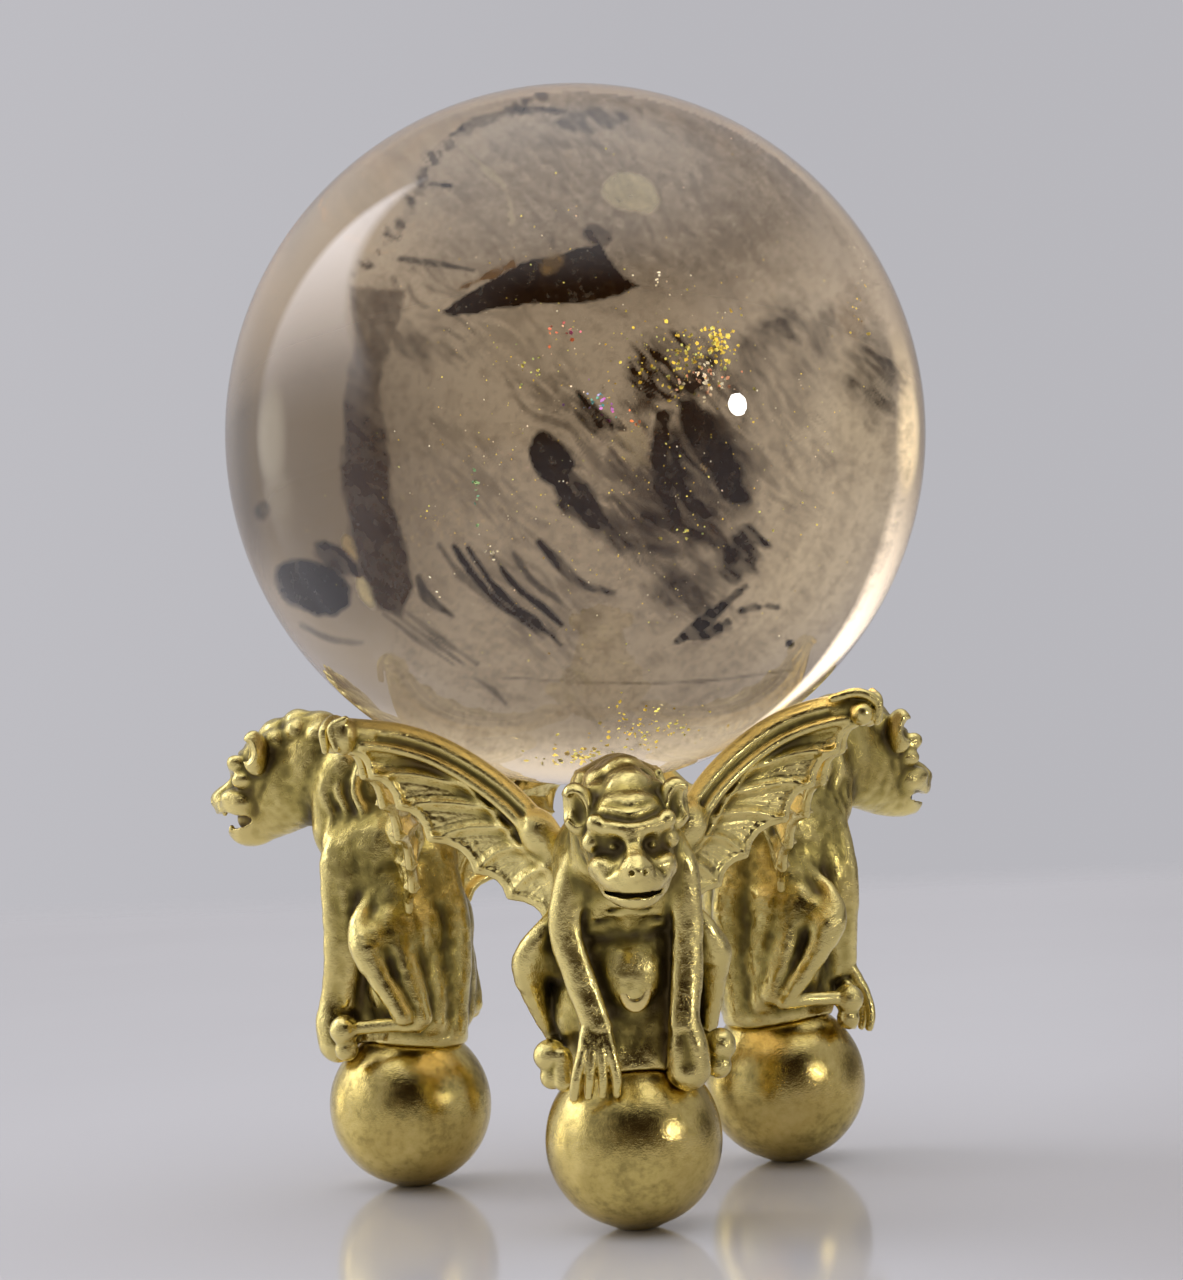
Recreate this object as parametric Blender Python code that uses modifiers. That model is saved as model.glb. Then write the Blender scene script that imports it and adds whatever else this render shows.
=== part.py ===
"""A smoky quartz ball resting on a brass stand of three winged gargoyles.

Each gargoyle crouches on a brass ball foot and looks outwards. Its two wings reach sideways,
and the wings of neighbours are brazed together at their tips, so that the six leading edges
make the cradle that the quartz ball lies in.

A gargoyle is laid out in its own coordinates, in millimetres: u is sideways from its middle
plane, r is the distance out from the stand's upright axis, and z is the height above the table.
The stand's axis is the world's Z axis, and the front gargoyle faces -Y.
"""

from math import pi, radians

import bmesh
import bpy
from mathutils import Matrix, Vector

MM = 0.001

# Driving dimensions, in millimetres.
GAP = 0.3  # clearance between pieces that touch
BALL_R = 25.0
BALL_CENTRE_Z = 54.05
FOOT_R = 5.95
FOOT_OUT = 16.1  # from the stand's axis to a ball foot's centre
FOOT_CENTRE_Z = 5.75  # below FOOT_R, which leaves a small flat to stand on
PEG_R = 1.0
PEG_LOW, PEG_HIGH = 8.0, 15.0
SHOULDER_U = 4.2  # half the width between the faces that the wings are brazed to
WING_BACK, WING_FRONT = 8.0, 14.5  # how far out the room for a wing's root reaches
WING_ROOM_LOW, WING_ROOM_HIGH = 20.2, 31.0
# Reaches that take a cutter clear of whatever it cuts.
BESIDE, BEYOND, ABOVE = 12.0, 30.0, 45.0
HALF_WAY = 60.0  # degrees from one gargoyle to the plane between it and the next
BRAZE_R = 1.05
BRAZE_HALF = 0.3  # half the thickness of the braze between two wing tips
TAG_SIZE = (2.2, 0.5, 3.0)  # sideways, outwards and upwards
TAG_PLACE = (0.2, 19.65, 16.3)
VOXEL = 0.3
FIGURE_KEEP, WING_KEEP = 0.03, 0.05  # share of the faces that Decimate keeps

# Name of each gargoyle, its turn about the stand's axis, and how its head is carried:
# (sideways, outwards, upwards) from the pattern they were all cast from.
GARGOYLES = (
    ("front", 0.0, (-0.5, 0.3, -3.3)),
    ("left", -120.0, (0.0, 0.0, 0.0)),
    ("right", 120.0, (0.0, 0.3, -0.6)),
)

# The wing's leading edge from shoulder to tip, as (u, r, z).
WING_EDGE = (
    (4.5, 13.0, 26.0),
    (7.4, 11.0, 29.4),
    (10.8, 9.65, 31.95),
    (14.0, 9.35, 33.3),
    (17.9, 10.33, 33.95),
)
# The wing's lower edge from the root to the tip, as (u, z): the points are where its ribs end.
WING_HEM = ((4.5, 20.6), (7.1, 22.3), (9.2, 24.2), (12.2, 26.4), (14.3, 28.7), (16.1, 30.8), (17.3, 32.6))
WING_BAR_R = (1.05, 1.1, 1.1, 1.05, 1.1)
MEMBRANE = 0.9  # thickness of the web between the ribs
RIB_R = 0.62
# Each rib runs from the arm, at the first (u, z), to the hem.
WING_RIBS = (
    ((8.8, 30.0), (16.8, 32.3)),
    ((8.6, 29.4), (15.9, 30.8)),
    ((7.4, 28.3), (14.1, 28.7)),
    ((6.2, 26.9), (12.0, 26.5)),
    ((5.4, 25.4), (9.2, 24.3)),
)


def clear_scene():
    for obj in list(bpy.data.objects):
        bpy.data.objects.remove(obj, do_unlink=True)


def collection(name, hidden=False):
    made = bpy.data.collections.new(name)
    bpy.context.scene.collection.children.link(made)
    made.hide_render = hidden
    return made


def material(name, colour, metallic, roughness, transmission=0.0):
    made = bpy.data.materials.new(name)
    made.use_nodes = True
    shader = made.node_tree.nodes["Principled BSDF"]
    shader.inputs["Base Color"].default_value = (*colour, 1.0)
    shader.inputs["Metallic"].default_value = metallic
    shader.inputs["Roughness"].default_value = roughness
    shader.inputs["Transmission Weight"].default_value = transmission
    return made


def place(u, r, z):
    """A gargoyle's own (u, r, z) in millimetres as a point in metres, for the one that faces -Y."""
    return Vector((u, -r, z)) * MM


def add_blob(mesh, centre, radii):
    """An ellipsoid: radii are along u, r and z."""
    shape = Matrix.Translation(place(*centre)) @ Matrix.Diagonal((*(Vector(radii) * MM), 1.0))
    bmesh.ops.create_uvsphere(mesh, u_segments=20, v_segments=12, radius=1.0, matrix=shape)


def add_limb(mesh, points, radii):
    """A round limb through the points, with a ball at each and a cone between them."""
    for point, radius in zip(points, radii):
        add_blob(mesh, point, (radius,) * 3)
    for i in range(len(points) - 1):
        start, end = place(*points[i]), place(*points[i + 1])
        along = end - start
        turn = along.to_track_quat("Z", "Y").to_matrix().to_4x4()
        bmesh.ops.create_cone(
            mesh,
            cap_ends=True,
            segments=16,
            radius1=radii[i] * MM,
            radius2=radii[i + 1] * MM,
            depth=along.length,
            matrix=Matrix.Translation((start + end) / 2) @ turn,
        )


def new_object(name, mesh, group, look=None):
    data = bpy.data.meshes.new(name)
    mesh.to_mesh(data)
    mesh.free()
    made = bpy.data.objects.new(name, data)
    group.objects.link(made)
    if look:
        data.materials.append(look)
    return made


def fuse(obj, keep):
    """Makes overlapping shapes one skin, smooths it, and thins it out."""
    remesh = obj.modifiers.new("fuse", "REMESH")
    remesh.mode = "VOXEL"
    remesh.voxel_size = VOXEL * MM
    remesh.use_smooth_shade = True
    smooth = obj.modifiers.new("soften", "SMOOTH")
    smooth.factor = 0.5
    smooth.iterations = 3
    thin = obj.modifiers.new("thin", "DECIMATE")
    thin.ratio = keep


def cut(obj, cutter):
    boolean = obj.modifiers.new("cut " + cutter.name, "BOOLEAN")
    boolean.operation = "DIFFERENCE"
    boolean.solver = "EXACT"
    boolean.object = cutter


def as_cutter(obj):
    obj.hide_render = True
    obj.display_type = "WIRE"
    return obj


def box_mesh(low, high):
    """A box between two corners given as (u, r, z)."""
    mesh = bmesh.new()
    low, high = Vector(low), Vector(high)
    middle, size = (low + high) / 2, high - low
    shape = Matrix.Translation(place(*middle)) @ Matrix.Diagonal((*(size * MM), 1.0))
    bmesh.ops.create_cube(mesh, size=1.0, matrix=shape)
    return mesh


def sphere_mesh(centre, radius, segments, rings):
    mesh = bmesh.new()
    shape = Matrix.Translation(place(*centre))
    bmesh.ops.create_uvsphere(
        mesh, u_segments=segments, v_segments=rings, radius=radius * MM, matrix=shape
    )
    return mesh


def peg_mesh(radius, low, high):
    mesh = bmesh.new()
    shape = Matrix.Translation(place(0.0, FOOT_OUT, (low + high) / 2))
    bmesh.ops.create_cone(
        mesh,
        cap_ends=True,
        segments=20,
        radius1=radius * MM,
        radius2=radius * MM,
        depth=(high - low) * MM,
        matrix=shape,
    )
    return mesh


def turned(obj, degrees):
    obj.rotation_euler = (0.0, 0.0, radians(degrees))
    return obj


def gargoyle_mesh(head):
    """The crouching beast without its wings; head is how its head is carried."""
    mesh = bmesh.new()

    def carried(u, r, z, share=1.0):
        return (u + head[0] * share, r + head[1] * share, z + head[2] * share)

    # trunk, from the pad over the foot up to the shoulders
    add_blob(mesh, (0, 15.7, 12.3), (4.3, 4.2, 2.2))
    add_limb(mesh, ((0, 14.7, 14.6), (0, 14.5, 18.4), (0, 15.6, 22.0)), (3.2, 3.7, 3.5))
    add_blob(mesh, (0, 15.4, 24.9), (4.9, 3.9, 3.0))
    add_blob(mesh, (0, 17.8, 22.6), (3.2, 2.7, 3.4))
    add_blob(mesh, (0.2, 17.4, 16.2), (2.1, 2.3, 2.6))
    # neck and mane
    add_blob(mesh, carried(0, 18.5, 29.0, 0.45), (3.5, 4.2, 4.4))
    add_blob(mesh, carried(0, 22.2, 30.6, 0.8), (3.3, 4.0, 4.5))
    add_blob(mesh, carried(0, 24.4, 33.7), (1.9, 2.2, 1.7))
    # head
    add_blob(mesh, carried(0, 26.2, 30.2), (3.3, 3.2, 3.9))
    add_blob(mesh, carried(0, 28.5, 31.4), (2.6, 1.4, 1.0))
    add_limb(mesh, (carried(0, 28.0, 28.7), carried(0, 30.3, 28.5)), (2.3, 1.6))
    add_limb(mesh, (carried(0, 26.2, 27.4), carried(0, 29.3, 26.4)), (2.2, 1.05))
    for side in (-1, 1):
        ear = (carried(2.9 * side, 25.6, 32.0), carried(3.1 * side, 25.3, 33.5))
        add_limb(mesh, ear, (0.8, 0.65))
        # hind leg: thigh, shank, long foot and toe
        add_limb(
            mesh,
            ((2.4 * side, 13.4, 19.6), (4.2 * side, 14.7, 20.6), (6.3 * side, 15.4, 18.7)),
            (3.0, 2.0, 1.25),
        )
        add_limb(
            mesh,
            ((6.2 * side, 15.5, 18.2), (5.0 * side, 13.9, 14.8), (4.3 * side, 13.2, 12.4)),
            (1.2, 0.95, 0.8),
        )
        add_limb(mesh, ((4.3 * side, 13.1, 12.2), (5.9 * side, 18.5, 11.8)), (0.75, 0.75))
        add_limb(mesh, ((5.9 * side, 18.6, 11.9), (5.7 * side, 18.4, 10.7)), (1.1, 0.85))
    # front legs: the left paw stands closer in than the right one
    for side, wrist, paw in ((-1, 2.2, 2.4), (1, 3.2, 3.35)):
        add_limb(
            mesh,
            (
                (3.7 * side, 17.6, 25.0),
                (4.1 * side, 19.3, 21.2),
                (3.7 * side, 19.6, 17.6),
                (wrist * side, 20.2, 13.9),
                (paw * side, 20.9, 11.3),
            ),
            (1.5, 1.05, 1.0, 0.9, 1.2),
        )
    return mesh


def smooth_path(points, steps):
    """Points along a Catmull-Rom spline through the given ones."""
    padded = [2 * points[0] - points[1], *points, 2 * points[-1] - points[-2]]
    path = []
    for i in range(len(points) - 1):
        a, b, c, d = padded[i : i + 4]
        for step in range(steps):
            t = step / steps
            slope = (c - a) * t
            bend = (2 * a - 5 * b + 4 * c - d) * t**2
            twist = (3 * b - a - 3 * c + d) * t**3
            path.append(0.5 * (2 * b + slope + bend + twist))
    return [*path, points[-1]]


def along_u(path, u):
    """The point of a path, whose u only grows, at one u."""
    for a, b in zip(path, path[1:]):
        if u <= b[0]:
            return a.lerp(b, max(0.0, (u - a[0]) / (b[0] - a[0])))
    return path[-1]


def wing_mesh(side):
    """One wing: a thick leading edge, a web with ribs below it, and a knob at the tip."""
    mesh = bmesh.new()
    edge = smooth_path([Vector(p) for p in WING_EDGE], 6)
    hem = smooth_path([Vector((u, z)) for u, z in WING_HEM], 4)
    ends = len(WING_EDGE) - 1
    radii = []
    for i in range(len(edge)):
        at = i * ends / (len(edge) - 1)
        low = min(int(at), ends - 1)
        radii.append(WING_BAR_R[low] + (WING_BAR_R[low + 1] - WING_BAR_R[low]) * (at - low))
    add_limb(mesh, [(p[0] * side, p[1], p[2]) for p in edge], radii)

    def on_web(u, z):
        return (u * side, along_u(edge, u)[1], z)

    rows = 4
    columns = [along_u(edge, h[0]) for h in hem]
    grid = []
    for h, top in zip(hem, columns):
        column = []
        for row in range(rows + 1):
            z = h[1] + (top[2] - h[1]) * row / rows
            for layer in (-1, 1):
                point = place(h[0] * side, top[1] + layer * MEMBRANE / 2, z)
                column.append(mesh.verts.new(point))
        grid.append(column)
    count = 2 * (rows + 1)
    ring = [*range(0, count, 2), *range(count - 1, 0, -2)]
    for a, b in zip(grid, grid[1:]):
        for i in range(len(ring)):
            j = (i + 1) % len(ring)
            mesh.faces.new((a[ring[i]], a[ring[j]], b[ring[j]], b[ring[i]]))
    for end in (grid[0], grid[-1]):
        mesh.faces.new([end[i] for i in ring])
    for start, end in WING_RIBS:
        add_limb(mesh, (on_web(*start), on_web(*end)), (RIB_R, RIB_R))
    # the root is a lug that fills the space down the beast's side
    add_limb(mesh, (on_web(4.6, 21.4), on_web(4.7, 25.6)), (0.8, 1.1))
    bmesh.ops.recalc_face_normals(mesh, faces=mesh.faces)
    return mesh


def tag_room_mesh():
    """The space in front of the tag's back, with clearance all round it."""
    width, depth, height = TAG_SIZE
    u, r, z = TAG_PLACE
    low = (u - width / 2 - 2 * GAP, r - depth / 2 - GAP, z - height / 2 - 2 * GAP)
    return box_mesh(low, (u + width / 2 + 2 * GAP, BEYOND, z + height / 2 + 2 * GAP))


def next_room_mesh(side):
    """Where a wing has to stop: all that is past the plane half-way round to the next gargoyle,
    and half a braze before it. It is laid out with that plane at u = 0."""
    near = -side * (BRAZE_HALF + GAP)
    inner, outer = sorted((near, BESIDE * side))
    return box_mesh((inner, 0, WING_ROOM_LOW), (outer, BEYOND, ABOVE))


def make_gargoyle(name, turn, head, parts, cutters, looks):
    brass = looks["brass"]
    foot_place = (0, FOOT_OUT, FOOT_CENTRE_Z)
    body = new_object("gargoyle_" + name, gargoyle_mesh(head), parts, brass)
    fuse(body, FIGURE_KEEP)
    foot_room = sphere_mesh(foot_place, FOOT_R + GAP, 48, 24)
    hole = peg_mesh(PEG_R + GAP, PEG_LOW - GAP, PEG_HIGH + GAP)
    peg_room = new_object(name + "_peg_room", hole, cutters)
    rooms = [new_object(name + "_foot_room", foot_room, cutters), peg_room]
    for side in (-1, 1):
        inner, outer = sorted((SHOULDER_U * side, BESIDE * side))
        low = (inner, WING_BACK, WING_ROOM_LOW)
        high = (outer, WING_FRONT, WING_ROOM_HIGH)
        rooms.append(new_object(f"{name}_wing_room_{side}", box_mesh(low, high), cutters))
    if name == "front":
        rooms.append(new_object("tag_room", tag_room_mesh(), cutters))
    for room in rooms:
        cut(body, turned(as_cutter(room), turn))
    turned(body, turn)

    foot = new_object("foot_ball_" + name, sphere_mesh(foot_place, FOOT_R, 24, 12), parts, brass)
    below = box_mesh((-BESIDE, 0, -BESIDE), (BESIDE, BEYOND, 0))
    cut(foot, turned(as_cutter(new_object(name + "_floor", below, cutters)), turn))
    cut(foot, peg_room)
    turned(foot, turn)
    turned(new_object("peg_" + name, peg_mesh(PEG_R, PEG_LOW, PEG_HIGH), parts, brass), turn)

    for side, word in ((-1, "l"), (1, "r")):
        wing = new_object(f"wing_{name}_{word}", wing_mesh(side), parts, brass)
        fuse(wing, WING_KEEP)
        inner, outer = sorted((0.0, (SHOULDER_U + GAP) * side))
        shoulder = box_mesh((inner, 0, 0), (outer, BEYOND, ABOVE))
        root = new_object(f"{name}_root_room_{side}", shoulder, cutters)
        cut(wing, turned(as_cutter(root), turn))
        tip = new_object(f"{name}_tip_room_{side}", next_room_mesh(side), cutters)
        cut(wing, turned(as_cutter(tip), turn + HALF_WAY * side))
        turned(wing, turn)


def make_braze(name, turn, parts, look):
    """The drop of metal that joins two wing tips, on the plane half-way between two gargoyles."""
    tip = WING_EDGE[-1]
    out = (tip[0] ** 2 + tip[1] ** 2) ** 0.5
    mesh = bmesh.new()
    lie = Matrix.Rotation(pi / 2, 4, "Y")
    bmesh.ops.create_cone(
        mesh,
        cap_ends=True,
        segments=20,
        radius1=BRAZE_R * MM,
        radius2=BRAZE_R * MM,
        depth=2 * BRAZE_HALF * MM,
        matrix=Matrix.Translation(place(0, out, tip[2])) @ lie,
    )
    turned(new_object("braze_" + name, mesh, parts, look), turn)


def make_tag(parts, look):
    """The oval tag on the front beast's belly. It is blank."""
    mesh = bmesh.new()
    width, depth, height = TAG_SIZE
    lie = Matrix.Rotation(pi / 2, 4, "X")
    size = Matrix.Diagonal((width / 2 * MM, 1.0, height / 2 * MM, 1.0))
    bmesh.ops.create_cone(
        mesh,
        cap_ends=True,
        segments=24,
        radius1=1.0,
        radius2=1.0,
        depth=depth * MM,
        matrix=Matrix.Translation(place(*TAG_PLACE)) @ size @ lie,
    )
    new_object("belly_tag", mesh, parts, look)


def make_crystal(parts, look):
    mesh = bmesh.new()
    shape = Matrix.Translation((0, 0, BALL_CENTRE_Z * MM))
    bmesh.ops.create_uvsphere(mesh, u_segments=40, v_segments=20, radius=BALL_R * MM, matrix=shape)
    new_object("crystal_ball", mesh, parts, look)


def main():
    clear_scene()
    parts = collection("crystal_ball_on_gargoyle_stand")
    cutters = collection("cutters", hidden=True)
    looks = {
        "quartz": material("smoky_quartz", (0.62, 0.54, 0.48), 0.0, 0.02, 0.9),
        "brass": material("antiqued_brass", (0.62, 0.50, 0.22), 1.0, 0.28),
    }
    make_crystal(parts, looks["quartz"])
    for name, turn, head in GARGOYLES:
        make_gargoyle(name, turn, head, parts, cutters, looks)
    for name, turn in (("left", -HALF_WAY), ("right", HALF_WAY), ("back", 3 * HALF_WAY)):
        make_braze(name, turn, parts, looks["brass"])
    make_tag(parts, looks["brass"])
    for obj in parts.objects:
        obj.data.shade_smooth()


main()
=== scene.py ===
"""The looks of a smoky quartz ball that rests on a brass stand of three winged gargoyles.

The brass is sculpted as signed distances in millimetres, the way clay is built up: forms are
added, blended and cut away, and the skin at distance zero becomes the mesh. A gargoyle has its
own coordinates, as in the CAD: u sideways, r out from the stand's axis, and z up.
"""

from math import asin, cos, pi, radians, sin, sqrt

import bpy
import numpy as np
import openvdb
from mathutils import Matrix, Vector


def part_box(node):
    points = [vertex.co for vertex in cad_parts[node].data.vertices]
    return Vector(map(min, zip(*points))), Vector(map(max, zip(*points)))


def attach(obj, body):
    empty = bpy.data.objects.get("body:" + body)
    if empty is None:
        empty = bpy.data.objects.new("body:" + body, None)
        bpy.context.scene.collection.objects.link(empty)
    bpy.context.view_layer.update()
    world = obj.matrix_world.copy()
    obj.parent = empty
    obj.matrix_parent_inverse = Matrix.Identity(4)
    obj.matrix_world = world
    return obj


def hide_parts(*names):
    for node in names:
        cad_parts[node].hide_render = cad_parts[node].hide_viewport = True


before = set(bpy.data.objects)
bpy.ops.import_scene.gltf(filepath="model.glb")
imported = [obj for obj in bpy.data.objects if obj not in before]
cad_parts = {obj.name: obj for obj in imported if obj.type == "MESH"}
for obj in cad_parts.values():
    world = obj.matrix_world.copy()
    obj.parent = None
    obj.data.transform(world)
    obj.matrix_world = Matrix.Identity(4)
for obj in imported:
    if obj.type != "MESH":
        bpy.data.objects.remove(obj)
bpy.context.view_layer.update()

MM = 0.001
STAND, BALL = "stand", "ball"

# Each gargoyle's turn about the stand's axis in degrees, how its head is carried as (sideways,
# outwards, upwards) from the pattern, how far its mouth gapes, and its nod in degrees.
GARGOYLES = {
    "front": (0, (-0.45, 0.3, -3.2), 0.16, 4),
    "left": (-120, (0, 0, 0), 0.8, 0),
    "right": (120, (0, 0.3, -0.6), 0.4, 3),
}
# The wing's leading edge from shoulder to tip, as (u, r, z).
WING_EDGE = (
    (4.5, 13, 26),
    (7.4, 11, 29.4),
    (10.8, 9.65, 31.95),
    (14, 9.35, 33.3),
    (17.9, 10.33, 33.95),
)

# The distance between the points of the grids that hold the clay, in millimetres.
BODY_PITCH = 0.15
WING_PITCH = 0.12
TAG_PITCH = 0.08


# ---------------------------------------------------------------- clay

FAR = 1.5  # what the distance is taken as wherever there is no clay
BAND = 0.8  # how far from the skin, in millimetres, the distances have to be true


def smooth_min(a, b, blend):
    """The lesser of two distances, rounded where they are closer to each other than the blend."""
    if blend <= 0:
        return np.minimum(a, b)
    share = np.maximum(blend - np.abs(a - b), 0) / blend
    return np.minimum(a, b) - share * share * (blend / 4)


def smooth_path(points, steps=5):
    """Points along a Catmull-Rom spline through the given ones, whatever they hold."""
    points = [np.array(p, float) for p in points]
    padded = [2 * points[0] - points[1], *points, 2 * points[-1] - points[-2]]
    path = []
    for a, b, c, d in zip(padded, padded[1:], padded[2:], padded[3:]):
        for step in range(steps):
            t = step / steps
            bend = (2 * a - 5 * b + 4 * c - d) * t**2 + (3 * b - a - 3 * c + d) * t**3
            path.append(0.5 * (2 * b + (c - a) * t + bend))
    return np.array([*path, points[-1]])


def limb(points, radii, smooth=True):
    """A round limb through the points, with a radius at each."""
    rows = [(*p, radius) for p, radius in zip(points, radii)]
    rows = smooth_path(rows) if smooth and len(rows) > 2 else np.array(rows, float)
    rows = rows.astype(np.float32)
    places, radii = rows[:, :3], rows[:, 3]
    reach = radii.max()

    def distance(u, r, z):
        nearest = None
        for start, end, first, last in zip(places, places[1:], radii, radii[1:]):
            way = end - start
            du, dr, dz = u - start[0], r - start[1], z - start[2]
            t = np.clip((du * way[0] + dr * way[1] + dz * way[2]) / (way @ way), 0, 1)
            off = (du - t * way[0]) ** 2 + (dr - t * way[1]) ** 2 + (dz - t * way[2]) ** 2
            gap = np.sqrt(off) - (first + t * (last - first))
            nearest = gap if nearest is None else np.minimum(nearest, gap)
        return nearest

    return places.min(0) - reach, places.max(0) + reach, distance


def blob(centre, radii, nod=0, roll=0):
    """An ellipsoid, turned by its nod about u and its roll about r, in degrees."""
    if np.isscalar(radii):
        radii = (radii,) * 3
    turn = Matrix.Rotation(radians(roll), 3, "Y") @ Matrix.Rotation(radians(nod), 3, "X")
    own = np.array(turn.transposed(), np.float32)
    reach = max(radii)
    size = np.array(radii, np.float32)

    def distance(u, r, z):
        du, dr, dz = u - centre[0], r - centre[1], z - centre[2]
        first = second = 0
        for row, radius in zip(own, size):
            across = (row[0] * du + row[1] * dr + row[2] * dz) / radius
            first = first + across**2
            second = second + (across / radius) ** 2
        k = np.sqrt(first)
        return k * (k - 1) / np.maximum(np.sqrt(second), 1e-6)

    centre = np.array(centre, np.float32)
    return centre - reach, centre + reach, distance


class Clay:
    """A block of space on a grid, holding distances to the skin: below zero is inside."""

    def __init__(self, low, high, pitch):
        self.low = np.array(low, np.float32)
        self.pitch = pitch
        shape = np.ceil((np.array(high) - self.low) / pitch).astype(int) + 1
        self.field = np.full(shape, FAR, np.float32)

    def part(self, low, high):
        """The cells between two corners, and the coordinates of their points."""
        start = np.floor((np.array(low) - self.low) / self.pitch).astype(int)
        stop = np.ceil((np.array(high) - self.low) / self.pitch).astype(int) + 1
        start = np.clip(start, 0, self.field.shape)
        stop = np.clip(stop, 0, self.field.shape)
        cells = tuple(slice(a, b) for a, b in zip(start, stop))
        axes = [
            self.low[i] + np.float32(self.pitch) * np.arange(c.start, c.stop, dtype=np.float32)
            for i, c in enumerate(cells)
        ]
        return cells, np.meshgrid(*axes, indexing="ij", sparse=True)

    def add(self, form, blend=0.4):
        low, high, distance = form
        cells, points = self.part(low - blend - BAND, high + blend + BAND)
        self.field[cells] = smooth_min(self.field[cells], distance(*points), blend)

    def cut(self, form, blend=0.3):
        low, high, distance = form
        cells, points = self.part(low - blend - BAND, high + blend + BAND)
        self.field[cells] = -smooth_min(-self.field[cells], distance(*points), blend)

    def roughen(self, size, depth, seed):
        """Uneven casting: the skin wanders by up to this depth, in lumps of this size."""
        self.field += depth * lattice_3d(self.field.shape, size / self.pitch, seed)

    def skin(self):
        """The points and quads where the distance is zero."""
        grid = openvdb.FloatGrid(background=FAR)
        grid.copyFromArray(np.clip(self.field, -FAR, FAR))
        points, quads = grid.convertToQuads(isovalue=0)
        return points * self.pitch + self.low, quads

    def relief(self, points, reach):
        """How far each point of the skin stands proud of (above zero) or lies below (under
        zero) the form smoothed over this reach, as a share of the reach."""
        soft = np.clip(self.field, -BAND, BAND)
        cells = max(1, round(reach / self.pitch))
        for axis in (0, 1, 2):
            soft = box_blur(soft, cells, axis)
        return sample(soft, (points - self.low) / self.pitch) / reach


def lattice_3d(shape, cell, seed):
    """Smooth noise between -1 and 1 on a grid, with a random number at every cell's corner."""
    counts = [int(n / cell) + 3 for n in shape]
    values = np.random.default_rng(seed).uniform(-1, 1, counts).astype(np.float32)
    for axis, count in enumerate(shape):
        place = np.arange(count) / cell
        base = place.astype(int)
        share = (place - base).astype(np.float32)
        share = share * share * (3 - 2 * share)
        share = share.reshape([-1 if i == axis else 1 for i in range(3)])
        low, high = np.take(values, base, axis=axis), np.take(values, base + 1, axis=axis)
        values = low * (1 - share) + high * share
    return values


def box_blur(values, cells, axis):
    padding = [(0, 0)] * 3
    padding[axis] = (cells + 1, cells)
    total = np.cumsum(np.pad(values, padding, mode="edge"), axis=axis, dtype=np.float64)
    count = values.shape[axis]
    width = 2 * cells + 1
    high = np.take(total, range(width, width + count), axis=axis)
    low = np.take(total, range(count), axis=axis)
    return ((high - low) / width).astype(np.float32)


def sample(values, places):
    """Values read off a grid between its points."""
    base = np.clip(np.floor(places).astype(int), 0, np.array(values.shape) - 2)
    part = np.clip(places - base, 0, 1)
    total = 0
    for corner in np.ndindex(2, 2, 2):
        at = base + corner
        weight = np.prod(np.where(corner, part, 1 - part), axis=1)
        total = total + weight * values[at[:, 0], at[:, 1], at[:, 2]]
    return total


# ---------------------------------------------------------------- lines and noise in a plane


def inside_stroke(x, z, path):
    """How far each point of a plane is inside a stroke through (x, z, half width) points."""
    inside = np.full(np.broadcast(x, z).shape, -np.inf)
    for start, end in zip(path, path[1:]):
        way = end[:2] - start[:2]
        t = np.clip(((x - start[0]) * way[0] + (z - start[1]) * way[1]) / (way @ way), 0, 1)
        gap = np.hypot(x - start[0] - t * way[0], z - start[1] - t * way[1])
        inside = np.maximum(inside, start[2] + t * (end[2] - start[2]) - gap)
    return inside


def gap_to_lines(x, z, path):
    """How far each point of a plane is from a line through points."""
    return -inside_stroke(x, z, np.pad(path, ((0, 0), (0, 1))))


def gap_inside(x, z, outline):
    """How far each point of a plane is inside a closed outline. It is below zero outside."""
    inside = np.zeros(np.broadcast(x, z).shape, bool)
    for (x0, z0), (x1, z1) in zip(outline, np.roll(outline, -1, axis=0)):
        if z0 != z1:
            inside ^= ((z0 > z) != (z1 > z)) & (x < (x1 - x0) * (z - z0) / (z1 - z0) + x0)
    gap = gap_to_lines(x, z, np.concatenate([outline, outline[:1]]))
    return np.where(inside, gap, -gap)


def lattice_noise(x, y, seed, octaves=1):
    """Smooth noise between -1 and 1 on a lattice of random numbers, a cell apart."""
    total, weight, scale = 0, 0, 1
    for octave in range(octaves):
        random = np.random.default_rng(seed + octave).uniform(-1, 1, (256, 256)).astype(np.float32)
        px, py = x * scale, y * scale
        ix, iy = np.floor(px).astype(int), np.floor(py).astype(int)
        fx, fy = px - ix, py - iy
        fx, fy = fx * fx * (3 - 2 * fx), fy * fy * (3 - 2 * fy)
        ix, iy = ix % 255, iy % 255
        low = random[ix, iy] * (1 - fx) + random[ix + 1, iy] * fx
        high = random[ix, iy + 1] * (1 - fx) + random[ix + 1, iy + 1] * fx
        total = total + (low * (1 - fy) + high * fy) / scale
        weight += 1 / scale
        scale *= 2
    return total / weight


# ---------------------------------------------------------------- meshes


FINE_REACH, BROAD_REACH = 0.45, 1.2  # of the two reliefs that the brass is shaded by, in millimetres


def stand_space(points, turn):
    """A gargoyle's own millimetres as metres in the stand, for one that is turned by this."""
    u, r, z = np.asarray(points, float).T
    angle = radians(turn)
    x = u * cos(angle) + r * sin(angle)
    y = u * sin(angle) - r * cos(angle)
    return np.stack([x, y, z], axis=1) * MM


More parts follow.
